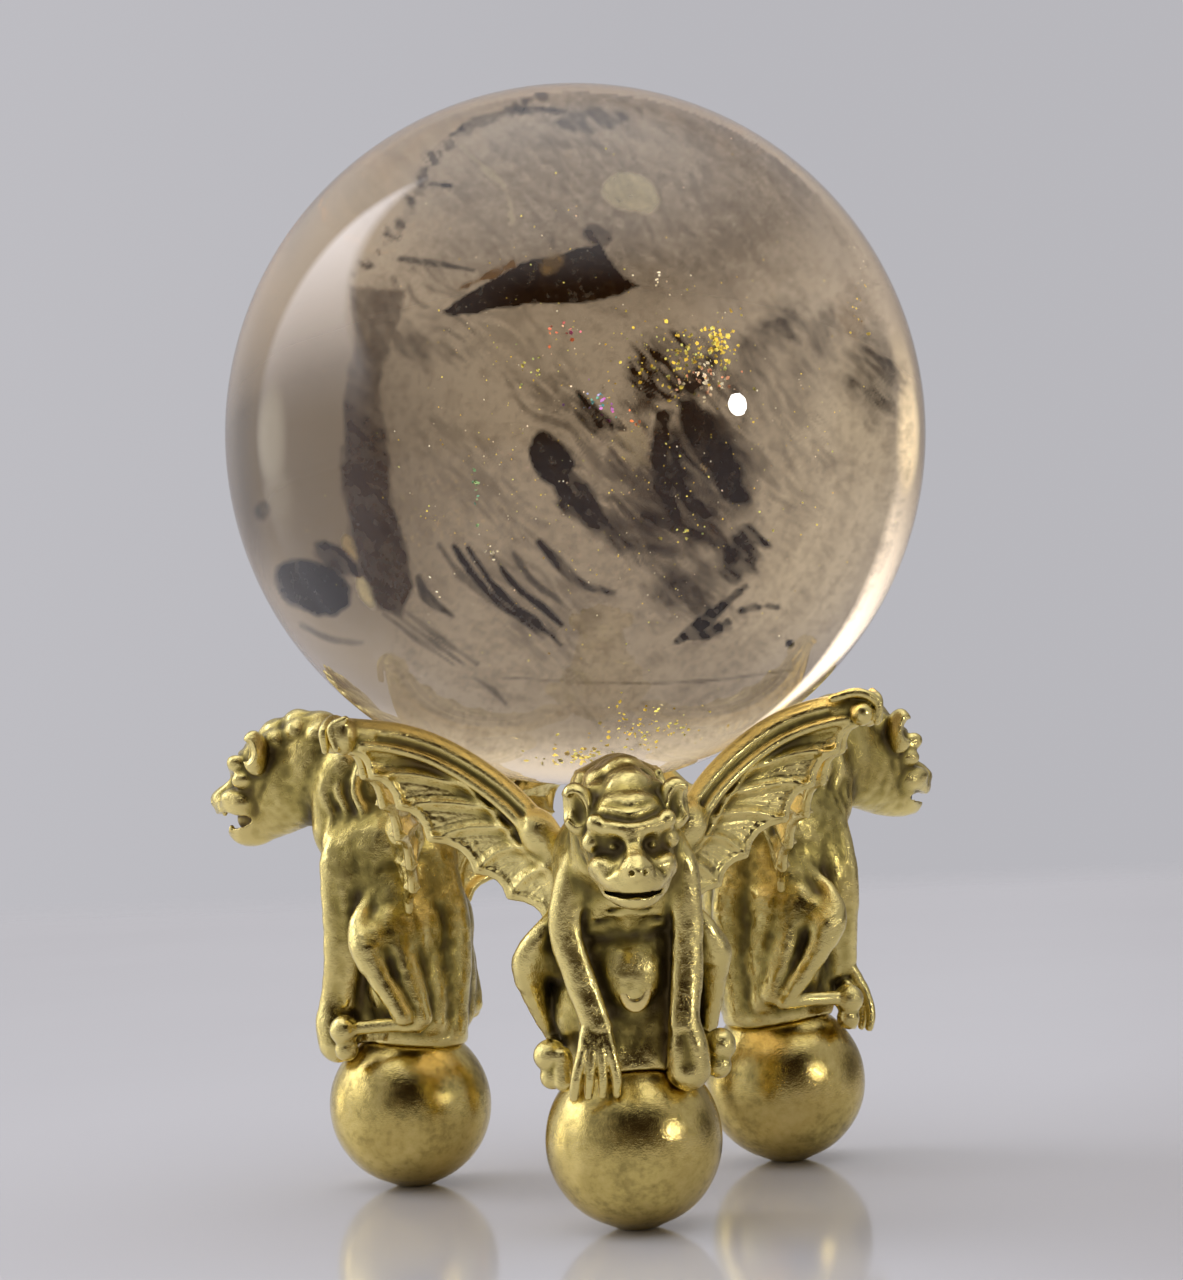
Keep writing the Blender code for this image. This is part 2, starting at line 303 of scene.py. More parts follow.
def mesh_object(name, points, faces, look, **values):
    """A smooth mesh of equal-sided faces, with named numbers at its points."""
    points, faces = np.asarray(points, np.float32), np.asarray(faces, np.int32)
    sides = faces.shape[1]
    data = bpy.data.meshes.new(name)
    data.vertices.add(len(points))
    data.vertices.foreach_set("co", points.ravel())
    data.loops.add(faces.size)
    data.loops.foreach_set("vertex_index", faces.ravel())
    data.polygons.add(len(faces))
    data.polygons.foreach_set("loop_start", np.arange(0, faces.size, sides, dtype=np.int32))
    data.update(calc_edges=True)
    data.validate()
    data.shade_smooth()
    for key, numbers in values.items():
        layer = data.attributes.new(key, "FLOAT", "POINT")
        layer.data.foreach_set("value", np.asarray(numbers, np.float32))
    data.materials.append(look)
    made = bpy.data.objects.new(name, data)
    bpy.context.scene.collection.objects.link(made)
    return made


def facing_out(points, quads):
    """The quads, turned so that the closed skin that they make faces out."""
    a, b, c = (points[quads[:, i]] for i in (0, 1, 2))
    d = points[quads[:, 3]]
    volume = np.einsum("ij,ij->i", a, np.cross(b, c)).sum()
    volume += np.einsum("ij,ij->i", a, np.cross(c, d)).sum()
    return quads if volume > 0 else quads[:, ::-1]


def grid_quads(count):
    """The quads between the points of a square grid, with this many points along a side."""
    grid = np.arange(count * count).reshape(count, count)
    return np.stack([grid[:-1, :-1], grid[1:, :-1], grid[1:, 1:], grid[:-1, 1:]], -1).reshape(-1, 4)


def cast(clay, name, turn, look, nodes, mirror=False):
    """The clay made in metal: one piece that rides on the stand and replaces CAD nodes."""
    points, quads = clay.skin()
    fine, broad = clay.relief(points, FINE_REACH), clay.relief(points, BROAD_REACH)
    if mirror:
        points = points * np.array((-1, 1, 1), np.float32)
    points = stand_space(points, turn)
    made = mesh_object(name, points, facing_out(points, quads), look, fine=fine, broad=broad)
    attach(made, STAND)
    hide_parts(*nodes)
    return made


# ---------------------------------------------------------------- gargoyle

FOOT_LOW, FOOT_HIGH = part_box("foot_ball_front")
FOOT_OUT = -(FOOT_LOW.y + FOOT_HIGH.y) / 2 / MM
FOOT_R = (FOOT_HIGH.x - FOOT_LOW.x) / 2 / MM
FOOT_CENTRE_Z = FOOT_HIGH.z / MM - FOOT_R + 0.35
SEAM = 0.05  # the dark line left between pieces that touch
LEFT, RIGHT = -1, 1
NAPE_R, NAPE_Z = 19.5, 30.5  # the place that the head turns about


class Figure:
    """The clay of one gargoyle. limb and blob add one form to it, or cut it away; limbs and
    blobs take the form on the right and do the same on the left."""

    def __init__(self, head, gape, nod):
        self.clay = Clay((-8.6, 9.2, 8.6), (8.6, 33.8, 36.6), BODY_PITCH)
        self.head = head
        self.gape = gape
        self.nod = nod
        self.share = 0  # how far the forms that follow go with the head, from 0 to 1

    def carried(self, side, u, r, z):
        """Where the way that this figure carries its head takes a point."""
        if not self.share:
            return side * u, r, z
        angle = -radians(self.nod) * self.share
        dr, dz = r - NAPE_R, z - NAPE_Z
        r = NAPE_R + dr * cos(angle) - dz * sin(angle)
        z = NAPE_Z + dr * sin(angle) + dz * cos(angle)
        return tuple(a + b * self.share for a, b in zip((side * u, r, z), self.head))

    def take(self, form, blend, cut):
        (self.clay.cut if cut else self.clay.add)(form, blend)

    def limb(self, points, radii, blend=0.4, cut=False, side=RIGHT):
        self.take(limb([self.carried(side, *p) for p in points], radii), blend, cut)

    def blob(self, centre, radii, blend=0.4, cut=False, roll=0, side=RIGHT):
        form = blob(self.carried(side, *centre), radii, -self.nod * self.share, side * roll)
        self.take(form, blend, cut)

    def limbs(self, *form, **how):
        for side in (LEFT, RIGHT):
            self.limb(*form, **how, side=side)

    def blobs(self, *form, **how):
        for side in (LEFT, RIGHT):
            self.blob(*form, **how, side=side)


def sculpt_trunk(f):
    # the pad that hugs the top of the ball, and the back above it
    f.blob((0, 15.6, 10.9), (3.7, 4.1, 1.9))
    f.limb(((0, 14.8, 12.6), (0, 14.7, 18.2), (0, 15.4, 22.6)), (2.9, 3, 3.1), 0.9)
    f.limb(((0, 16.3, 12.4), (0, 16.2, 17.5), (0, 16.6, 22.2)), (2.9, 3, 2.7), 0.9)
    f.blob((0, 15.7, 25.2), (4.2, 3.7, 3.5), 0.9)
    f.blob((0, 18.2, 23.4), (3.2, 2.7, 3.4), 0.9)
    # where each shoulder, breast and wing root run together
    f.blobs((2.6, 17.4, 23.8), (2, 2.9, 3.4), 1.2)
    # haunches, which the thighs grow out of
    f.blobs((2.6, 14.9, 20), (2.5, 2.6, 3.4), 1.4)
    f.blobs((2.6, 14.8, 15), (2.3, 2.6, 3.6), 1.4)
    # flanks, which close the body between its front and hind legs
    f.limbs(((2.3, 17.2, 22.5), (1.9, 17.5, 19), (1.7, 17.8, 15.6), (1.8, 18, 12)), (1.9, 1.5, 1.3, 1.4), 1)
    # the belly, a barrel between the front legs, with a crease above it and one below
    f.blob((0.1, 17.5, 17.1), (2.7, 2.7, 3.2))
    f.limb(((-2.5, 18.9, 19.6), (0.1, 20.25, 19.7), (2.5, 18.9, 19.8)), (0.15, 0.2, 0.15), 0.6, cut=True)
    f.limb(((-2, 19.4, 15.4), (0.2, 19.9, 14), (2.3, 19.4, 15.6)), (0.2, 0.35, 0.2), 0.5, cut=True)
    f.blob((0, 19.6, 24.4), (2.2, 1.7, 2.6), 1.2)
    # fine wrinkles across the breast
    for z in (22.4, 21.5, 20.7):
        f.limb(((-2, 19.4, z + 0.2), (0, 20.75, z), (2, 19.4, z + 0.1)), (0.06,) * 3, 0.35, cut=True)
    # the spine, and one long ridge on each side of it from the haunch to the heel
    f.limb(((0, 13.4, 23.8), (0, 12.4, 20.5), (0, 12.3, 17.4), (0, 12.9, 12.6)), (1.6, 1.5, 1.6, 1.4), 1.6)
    f.limbs(
        ((2.2, 13.9, 23.2), (2.7, 13.3, 19.6), (2.7, 12.8, 16.2), (2.5, 12.6, 12.4)), (1, 1, 0.95, 0.75), 1
    )


def sculpt_hind_leg(f, side, knee, toe):
    """A hind leg, with its knee and toe this far out from the pattern's."""
    out = 6.4 + knee
    ankle = 4.8 + knee * 0.3 + 3 * toe
    for points, radii, blend in (
        # a broad thigh, and the knee's edge
        (((2.9, 14.4, 19), (4.7, 15.3, 18.6), (6.3 + knee, 15.8, 18)), (2.5, 1.8, 1.15), 0.6),
        (
            ((3.8, 15.9, 21.8), (5.2 + knee * 0.6, 16.6, 20.3), (out, 16.3, 18.6), (out, 15.6, 17)),
            (0.5, 0.75, 0.95, 0.95),
            0.6,
        ),
        # the shank, and the calf behind it
        (
            ((out, 15.6, 17.8), (5.9 + knee * 0.8 + toe, 14.7, 15.6), (ankle, 13.3, 13.1)),
            (1.1, 0.9, 0.7),
            0.4,
        ),
        (((4.3, 14.6, 19.6), (4.2 + toe, 13.5, 16.4), (3.7 + 2 * toe, 12.5, 12.9)), (1.3, 1.1, 0.8), 0.5),
        # the long foot, which lies on the ball
        (((4.4, 12.9, 12.4), (5.1, 15.4, 12.35), (5.45 + toe, 17.6, 12.2)), (0.65, 0.5, 0.52), 0.3),
    ):
        f.limb(points, radii, blend, side=side)
    # round toes
    f.blob((5.5 + toe, 18.1, 12.1), 1.1, 0.2, side=side)
    f.blob((5.35 + toe, 18.1, 10.7), 0.85, 0.2, side=side)


def sculpt_front_leg(f, side, line):
    """A front leg: deeper than it is wide, with a tendon that catches the light."""
    f.limb(line, (1.2, 1.05, 0.95, 0.98, 0.85), 0.5, side=side)
    f.limb([(u - 0.1, r - 1.1, z) for u, r, z in line], (1.2, 1.05, 0.95, 0.95, 0.8), 0.6, side=side)
    f.limb([(u - 0.7, r + 0.4, z) for u, r, z in line[1:]], (0.34, 0.36, 0.38, 0.36), 0.6, side=side)


def sculpt_paws(f):
    # the left paw: four fingers spread over the ball
    for spread in (-1.5, -0.5, 0.5, 1.5):
        finger = (
            (2.6 + spread * 0.35, 20.5, 13.9),
            (2.7 + spread * 0.65, 21.2, 12.3),
            (2.8 + spread * 0.88, 21.3, 10.7),
            (2.85 + spread * 0.92, 21, 9.6),
        )
        f.limb(finger, (0.5, 0.38, 0.36, 0.3), 0.06, side=LEFT)
    f.blob((2.7, 20, 12.2), (1.1, 0.8, 1.2), 0.2, side=LEFT)
    # the right paw: a rounder fist
    f.limb(((3.3, 20.2, 13.9), (3.4, 20.3, 12.4), (3.45, 20, 10.9)), (0.9, 1.35, 1.5), 0.5)
    f.limb(((3, 21.6, 13.2), (3.2, 22, 11.6)), (0.2, 0.6), 0.7, cut=True)
    for i in range(3):
        u = 2.75 + 0.7 * i
        f.limb(((u, 21.7, 10.6), (u, 21, 9.4)), (0.06, 0.14), 0.3, cut=True)


def sculpt_legs(f):
    sculpt_hind_leg(f, LEFT, 0, 0)
    sculpt_hind_leg(f, RIGHT, -0.4, 0.35)
    f.limb(((4.75, 18.7, 12), (4.7, 18.7, 10.4)), (0.7, 0.7), 0.12, side=LEFT)
    f.limb(((5.05, 19.6, 12.2), (5, 19.6, 10.2)), (0.12, 0.14), 0.3, cut=True, side=LEFT)
    top = (2.5, 19, 26.4)
    sculpt_front_leg(f, LEFT, (top, (3.5, 19.4, 24), (4.3, 19.4, 20.8), (3.75, 19.6, 18), (2.6, 20.3, 14)))
    sculpt_front_leg(f, RIGHT, (top, (3.8, 19.4, 24), (4, 19.4, 20.4), (3.75, 19.6, 17), (3.3, 20.3, 13.9)))
    sculpt_paws(f)


def sculpt_neck(f):
    for share, centre, radii in (
        (0.5, (0, 18.7, 29), (3.1, 4, 4.4)),
        (0.95, (0, 22.3, 30.7), (2.95, 4.2, 4)),
        (0.4, (0, 19.8, 26.6), (2.8, 2.5, 2.3)),
    ):
        f.share = share
        f.blob(centre, radii, 0.9)
    # the fold from the wing's root down to the chest
    f.share = 0.5
    f.limbs(((2.2, 19, 31.5), (2.4, 20.4, 29.4), (2.3, 20.8, 26.8)), (0.8, 0.8, 0.7), 1.2)
    f.share = 0.3
    f.blobs((1.3, 20.3, 25.9), (1.5, 1.5, 1.7), 1.2)
    # locks that hang down the side of the neck to the shoulder
    f.share = 0.25
    for r in (20.2, 18.9, 17.6):
        lock = (
            (2.6, r - 0.2, 31.4),
            (3, r + 0.2, 29.3),
            (3, r - 0.5, 27.4),
            (3.6, r - 0.2, 25.6),
            (3.9, r - 1, 24),
        )
        f.limbs(lock, (0.2, 0.36, 0.32, 0.34, 0.15), 0.3)
    # the mane: low lumps with dark notches between them
    f.share = 1
    for r, z, radius in ((23.9, 34.6, 1.05), (22, 34.4, 1), (20.1, 33.6, 0.9)):
        f.blob((0.1, r, z - 0.1), (1.2, radius, radius * 0.85), 0.9)
        f.blobs((1.4, r - 0.6, z - 0.8), (0.85, 0.85, 0.7), 0.6)


def sculpt_head(f):
    f.share = 1
    f.blob((0, 25.6, 30.5), (2.8, 3.2, 3.5), 0.8)
    f.blob((0, 27.2, 30.9), (2.35, 2.1, 2.4), 0.8)
    # the tuft on the crown, with a lock on each side of it
    f.blob((0.15, 25.6, 33.5), (1.5, 1.5, 1.3), 0.6)
    f.blobs((1.8, 25, 33.1), (0.8, 0.9, 0.8), 0.6)
    # jaw and muzzle
    shut = max(0, 1.5 * (0.7 - f.gape))
    f.limb(((0, 24.6, 28.8), (0, 26.8, 27.5 + shut / 2), (0, 28.2, 27 + shut)), (2.3, 1.8, 1.3), 0.9)
    f.blob((0, 28.5, 28.4), (2.1, 2.3, 1.4), 0.8)
    f.blobs((2, 28.9, 29), (0.62, 0.8, 0.55), 0.4)
    f.limb(((-2.1, 28, 28.6), (0, 30.3, 28.05), (2.1, 28, 28.6)), (0.7, 0.85, 0.7), 0.9)
    # a short wide nose
    f.limb(((0, 28.9, 30.9), (0, 29.5, 30), (0, 30.5, 29.3)), (0.7, 0.6, 0.6), 0.7)
    f.blob((0, 30.9, 28.8), (0.7, 0.95, 0.65), 0.6)
    f.blobs((0.62, 30.7, 28.95), (0.42, 0.5, 0.4), 0.25)
    f.limbs(((0.95, 30, 29.75), (1.15, 30.5, 29.2), (1.75, 30, 28.5)), (0.06, 0.1, 0.06), 0.35, cut=True)
    # the lower lip and chin
    low = 26.95 + shut * 0.35
    f.limb(((-1.5, 28.4, low), (0, 29.8, low - 0.5), (1.5, 28.4, low)), (0.45, 0.5, 0.45), 0.9)
    f.blob((0, 28.4, 26 + 1.3 * shut), (1.25, 1.4, 0.75), 0.8)
    # mouth: lips parted in a smile, and a dark space behind them
    corner = 1.6 + 1.9 * f.gape
    part = 0.1 + f.gape * 0.75
    smile = [(corner * t, 30.7 - 2.4 * abs(t) ** 1.5, 27.15 + 0.45 * t * t) for t in (-1, -0.5, 0, 0.5, 1)]
    f.limb(smile, (0.5 * part, part, part, part, 0.5 * part), 0.1, cut=True)
    f.blob((0, 29.2, 27.25), (corner, 2.2, 0.08 + f.gape * 0.75), 0.1, cut=True)
    f.limb(((0, 27.2, 26.9), (0, 28.9, 26.7)), (0.6, 0.3), 0.05)
    f.blob((0, 27.6, 27.3), (1.4, 1.9, 1.2), 0.05)
    if f.gape > 0.5:
        # fangs
        f.blobs((1, 30.1, 27.9), (0.22, 0.25, 0.4), 0.05)
        f.blobs((1.3, 29.4, 26.6), (0.25, 0.25, 0.35), 0.05)
    # brow: a broad wrinkled band, low in the middle and knobbed at its ends
    f.limbs(((2.35, 27.9, 31.2), (1.3, 29.05, 31.35), (0.3, 29.3, 31.15)), (0.3, 0.34, 0.3), 0.7)
    f.limb(((-2, 28.1, 32.2), (0, 29.2, 31.8), (2, 28.1, 32.2)), (0.07, 0.09, 0.07), 0.5, cut=True)
    f.limb(((-1.7, 27.9, 32.9), (0, 28.8, 32.6), (1.7, 27.9, 32.9)), (0.05, 0.07, 0.05), 0.5, cut=True)
    f.blobs((2.3, 28.2, 31.6), (0.55, 0.7, 0.6), 0.3)
    f.blobs((2.5, 27.6, 30.3), (0.6, 0.8, 0.6), 0.4)
    # eyes deep in their sockets
    f.blobs((1.25, 29.5, 30.15), (0.66, 0.85, 0.4), 0.4, cut=True, roll=8)
    f.blobs((1.2, 28.6, 30.1), (0.34, 0.42, 0.26), 0.15)
    # nostrils
    f.blobs((0.42, 31.5, 28.75), (0.22, 0.34, 0.2), 0.12, cut=True)
    # ears: round rings about a dark hollow, turned out and forward
    f.blobs((3.1, 26, 32.3), (1.15, 1, 1.75), 0.25, roll=8)
    f.blobs((3.35, 26.95, 32.35), (0.72, 0.85, 1.2), 0.1, cut=True, roll=8)
    f.blobs((4.1, 26.2, 32.4), (0.5, 0.7, 0.9), 0.15, cut=True)
    # the edge of the jaw and the cheek's crease
    f.limbs(((2.9, 25.6, 29.9), (2.7, 26.4, 28.4), (2.3, 27, 27.6)), (0.1, 0.13, 0.1), 0.45, cut=True)


def make_gargoyle(name, look):
    turn, head, gape, nod = GARGOYLES[name]
    f = Figure(head, gape, nod)
    for sculpt in (sculpt_trunk, sculpt_legs, sculpt_neck, sculpt_head):
        sculpt(f)
    f.clay.roughen(1.3, 0.05, 3)
    f.clay.roughen(0.5, 0.03, 4)
    f.clay.cut(blob((0, FOOT_OUT, FOOT_CENTRE_Z), FOOT_R + SEAM), 0.3)
    cast(f.clay, "gargoyle_" + name + "_casting", turn, look, ["gargoyle_" + name])


# ---------------------------------------------------------------- wings

# Where the ribs end on the hem, from the tip to the root, as (u, z).
RIB_ENDS = ((17.2, 32.7), (16, 30.9), (14.2, 28.7), (12.2, 26.4), (9.2, 24.1), (7.1, 22.3), (4.7, 20.6))
# Each rib from its end back to the arm, as (u, z).
RIBS = (
    ((16.8, 32.5), (11.6, 31.7), (8.8, 29.9)),
    ((16, 30.9), (13.2, 30.8), (9.3, 29.7)),
    ((14.2, 28.7), (11.6, 28.8), (7.6, 28.2)),
    ((12.2, 26.4), (9.6, 27), (6.6, 26.9)),
    ((9.2, 24.2), (7.6, 25.4), (5.6, 25.6)),
    ((7.1, 22.4), (6, 23.6), (4.8, 24.2)),
)
RIDGE = ((4.5, 23.9), (6.3, 25.4), (8.2, 28.1), (10.7, 30.6), (14, 32.5), (17.6, 33.4))
ROOT_CORNERS = ((3, 20.9), (3, 26))  # inside the body, where the web's outline closes
WING_TIP = np.array(WING_EDGE[-1])


def hem_path():
    """The trailing edge from tip to root: a hollow scallop from each rib's end to the next."""
    path = []
    for (u0, z0), (u1, z1) in zip(RIB_ENDS, RIB_ENDS[1:]):
        bend = (u1 + 0.12 * (u0 - u1), z0 + 0.10 * (z1 - z0))
        for t in np.linspace(0, 1, 9)[:-1]:
            near = np.array((u0, z0)) * (1 - t) ** 2
            path.append(near + 2 * t * (1 - t) * np.array(bend) + np.array((u1, z1)) * t**2)
    return np.array([*path, RIB_ENDS[-1]])


def web_relief(u, z, to_rib, to_hem):
    """How high the web's front stands at each (u, z): raised ribs with hollows and fine pleats
    between them, a ridge, a rolled hem, and grain beside the hem."""
    height = 0.42 * np.exp(-((to_rib / 0.3) ** 2)) - 0.16 * np.clip(to_rib, 0, 1) ** 2
    height += 0.34 * np.exp(-((gap_to_lines(u, z, smooth_path(RIDGE)) / 0.26) ** 2))
    height += 0.3 * np.exp(-((to_hem / 0.22) ** 2))
    height += 0.03 * np.cos(to_rib * (2 * pi / 0.38)) * np.clip(to_rib / 0.5, 0, 1)
    grain = lattice_noise(u * 3.2, z * 3.2, 11)
    return height + np.exp(-((to_hem / 1.3) ** 2)) * np.clip(grain, 0, 1) * 0.14


def sculpt_web(clay, edge, hem):
    _, (u, r, z) = clay.part(clay.low, clay.low + WING_PITCH * (np.array(clay.field.shape) - 1))
    u, z = u[:, 0, :], z[0]
    rim = -gap_inside(u, z, np.concatenate([edge[:, (0, 2)], hem, ROOT_CORNERS]))
    to_rib = np.minimum.reduce([gap_to_lines(u, z, smooth_path(rib)) for rib in RIBS])
    height = web_relief(u, z, to_rib, gap_to_lines(u, z, hem))
    middle = np.interp(u, edge[:, 0], edge[:, 1]) + 0.25 * np.clip(to_rib, 0, 1.2)
    thick = 0.24 + 0.1 * np.clip(-rim / 1.5, 0, 1)
    front = r - (middle + thick + height)[:, None, :]
    back = (middle - thick - 0.5 * height)[:, None, :] - r
    web = np.maximum(front, back) * 0.8
    web = -smooth_min(-web, -rim[:, None, :], 0.25)
    clay.field = np.minimum(clay.field, web.astype(np.float32))


def sculpt_wing(tip_curled):
    clay = Clay((2.6, 6.8, 19.4), (19.6, 15.6, 36.2), WING_PITCH)
    edge = smooth_path(WING_EDGE, 8)
    hem = hem_path()
    sculpt_web(clay, edge, hem)

    def bar(points, radius):
        return limb(points, [radius] * len(points), smooth=False)

    # the rolled hem, then the arm: a thick bar with a bright ridge along its lower front edge
    clay.add(bar([(u, np.interp(u, edge[:, 0], edge[:, 1]) + 0.1, z) for u, z in hem[::2]], 0.34), 0.2)
    clay.add(bar(edge, 1.02), 0.25)
    clay.add(bar(edge[3:-3] + (0.25, 0.85, -0.75), 0.36), 0.15)
    clay.cut(bar(edge[2:-5] + (0, 1.12, -0.18), 0.22), 0.3)
    # the root, where the arm meets the shoulder
    clay.add(limb(((4, 13.4, 23.2), (4.4, 12.9, 25.6)), (0.5, 1.2)), 0.6)
    clay.add(blob((5.1, 12.9, 26.6), (1.3, 1.3, 1.5)), 0.5)
    if tip_curled:
        curl = ((-2.2, 0.9, 0.55), (-0.4, 0.95, 0.85), (0.95, 0.95, 0.1), (0.85, 0.95, -1.2))
        clay.add(blob(WING_TIP + (-0.15, 0.8, -0.6), 0.85), 0.05)
        clay.add(limb(WING_TIP + curl, (0.3, 0.36, 0.36, 0.26)), 0.1)
    else:
        clay.add(blob(WING_TIP + (0.05, 0.5, -0.2), (1, 0.9, 1.35)), 0.2)
        clay.cut(blob(WING_TIP + (0.2, 0.7, 1.15), (0.45, 0.5, 0.4)), 0.2)
        clay.cut(limb(WING_TIP + ((-0.9, 1.5, 0.6), (-0.9, 1.4, -0.9)), (0.18, 0.22)), 0.2)
        fold = WING_TIP + ((-0.2, 1.2, 0.9), (0.8, 0.9, 0.3), (0.5, 1.1, -1.1))
        clay.add(limb(fold, (0.25, 0.3, 0.25)), 0.15)
    return clay


def make_wings(look):
    curled, hollow = sculpt_wing(True), sculpt_wing(False)
    for name, (turn, *_) in GARGOYLES.items():
        cast(hollow, f"wing_{name}_l_casting", turn, look, [f"wing_{name}_l"], mirror=True)
        cast(curled, f"wing_{name}_r_casting", turn, look, [f"wing_{name}_r"])


def make_brazes(look):
    """The drops of metal that join the wing tips, on the planes half-way between gargoyles."""
    u, r, z = WING_TIP
    out = sqrt(u**2 + r**2)
    for name, turn in (("left", -60), ("right", 60), ("back", 180)):
        clay = Clay((-2, out - 2.2, z - 2.2), (2, out + 2.2, z + 2.2), WING_PITCH)
        clay.add(blob((0, out, z), (0.62, 1, 1)), 0)
        clay.add(blob((0.1, out + 0.35, z - 0.45), (0.55, 0.6, 0.6)), 0.3)
        clay.add(blob((-0.1, out - 0.4, z + 0.3), (0.5, 0.6, 0.6)), 0.3)
        cast(clay, f"braze_{name}_drop", turn, look, [f"braze_{name}"])


# ---------------------------------------------------------------- feet, tag and ball


def make_feet(look):
    """The ball feet: cast, filed by hand, a little drawn down to where they stand."""
    for name, (turn, *_) in GARGOYLES.items():
        clay = Clay((-6.8, FOOT_OUT - 6.8, -0.6), (6.8, FOOT_OUT + 6.8, 12.8), BODY_PITCH)
        clay.add(blob((0, FOOT_OUT, FOOT_CENTRE_Z), FOOT_R), 0)
        clay.add(limb(((0, FOOT_OUT, 4.4), (0, FOOT_OUT, 1.2)), (4.2, 1.2)), 1.2)
        clay.roughen(2.6, 0.05, 7)
        clay.cut(blob((0, FOOT_OUT, -30), (40, 40, 30.02)), 0.1)
        cast(clay, f"foot_ball_{name}_polished", turn, look, [f"foot_ball_{name}"])


def make_tag(look):
    """A small oval dish with a plain boss in it."""
    low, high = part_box("belly_tag")
    centre = (low + high) / 2 / MM
    size = (high - low) / MM
    u, r, z = centre.x, -centre.y, centre.z
    clay = Clay((u - 2, r - 1.2, z - 2.4), (u + 2, r + 1.2, z + 2.4), TAG_PITCH)
    clay.add(blob((u, r, z), (size.x / 2 + 0.1, size.y / 2 + 0.15, size.z / 2 + 0.1)), 0)
    clay.cut(blob((u, r + 0.75, z), (size.x / 2 - 0.3, 0.62, size.z / 2 - 0.4)), 0.05)
    clay.add(blob((u, r + 0.1, z), (0.3, 0.3, 0.4)), 0.1)
    cast(clay, "belly_tag_plate", 0, look, ["belly_tag"])


BALL_LOW, BALL_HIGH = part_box("crystal_ball")
BALL_CENTRE = (BALL_LOW + BALL_HIGH) / 2
BALL_R = (BALL_HIGH.z - BALL_LOW.z) / 2
BALL_CELLS = 72  # along each side of the cube that is blown out to the ball


def make_quartz_ball(look):
    """A cube's faces, blown out to a sphere, so that no pole shows in the polish."""
    across = np.tan(np.linspace(-pi / 4, pi / 4, BALL_CELLS + 1))
    a, b = np.meshgrid(across, across, indexing="ij")
    one = np.ones_like(a)
    sides = ((a, b, one), (b, a, -one), (one, a, b), (-one, b, a), (b, one, a), (a, -one, b))
    points = np.concatenate([np.stack(side, -1).reshape(-1, 3) for side in sides])
    quads = np.concatenate([grid_quads(BALL_CELLS + 1) + i * a.size for i in range(len(sides))])
    points /= np.linalg.norm(points, axis=1, keepdims=True)
    _, first, same = np.unique(np.round(points, 6), axis=0, return_index=True, return_inverse=True)
    points, quads = points[first], same.reshape(-1)[quads]
    ball = mesh_object("quartz_sphere", points * BALL_R + np.array(BALL_CENTRE), quads, look)
    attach(ball, BALL)
    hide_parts("crystal_ball")


# ---------------------------------------------------------------- inclusions

QUARTZ_IOR = 1.54
VEIL_PITCH = 0.16
VEIL_REACH = 24.4  # millimetres from the ball's middle, as seen from the front
VEIL_MARGIN = 0.3
BELOW_POLISH = 0.4  # how far inside the ball's surface the inclusions stay
VIEW_AWAY = 235  # from the eye to the ball's middle


def bent_sight(x, z, depth):
    """Where the line of sight through (x, z), as seen against the ball's middle, has got to at
    this depth behind the middle, after the quartz has bent it. All in millimetres."""
    radius = BALL_R / MM
    out = np.maximum(np.hypot(x, z), 1e-6)
    meets = np.arcsin(np.minimum(out / radius, 0.999))
    inside = np.arcsin(np.sin(meets) / QUARTZ_IOR)
    entry = meets - out / radius * asin(radius / VIEW_AWAY)
    depth = np.maximum(depth, BELOW_POLISH - radius * np.cos(entry))
    lateral = radius * np.sin(entry) - np.tan(entry - inside) * (depth + radius * np.cos(entry))
    room = np.sqrt(np.maximum((radius - BELOW_POLISH) ** 2 - depth**2, 0))
    lateral = np.minimum(lateral, room)
    return x / out * lateral, z / out * lateral, depth


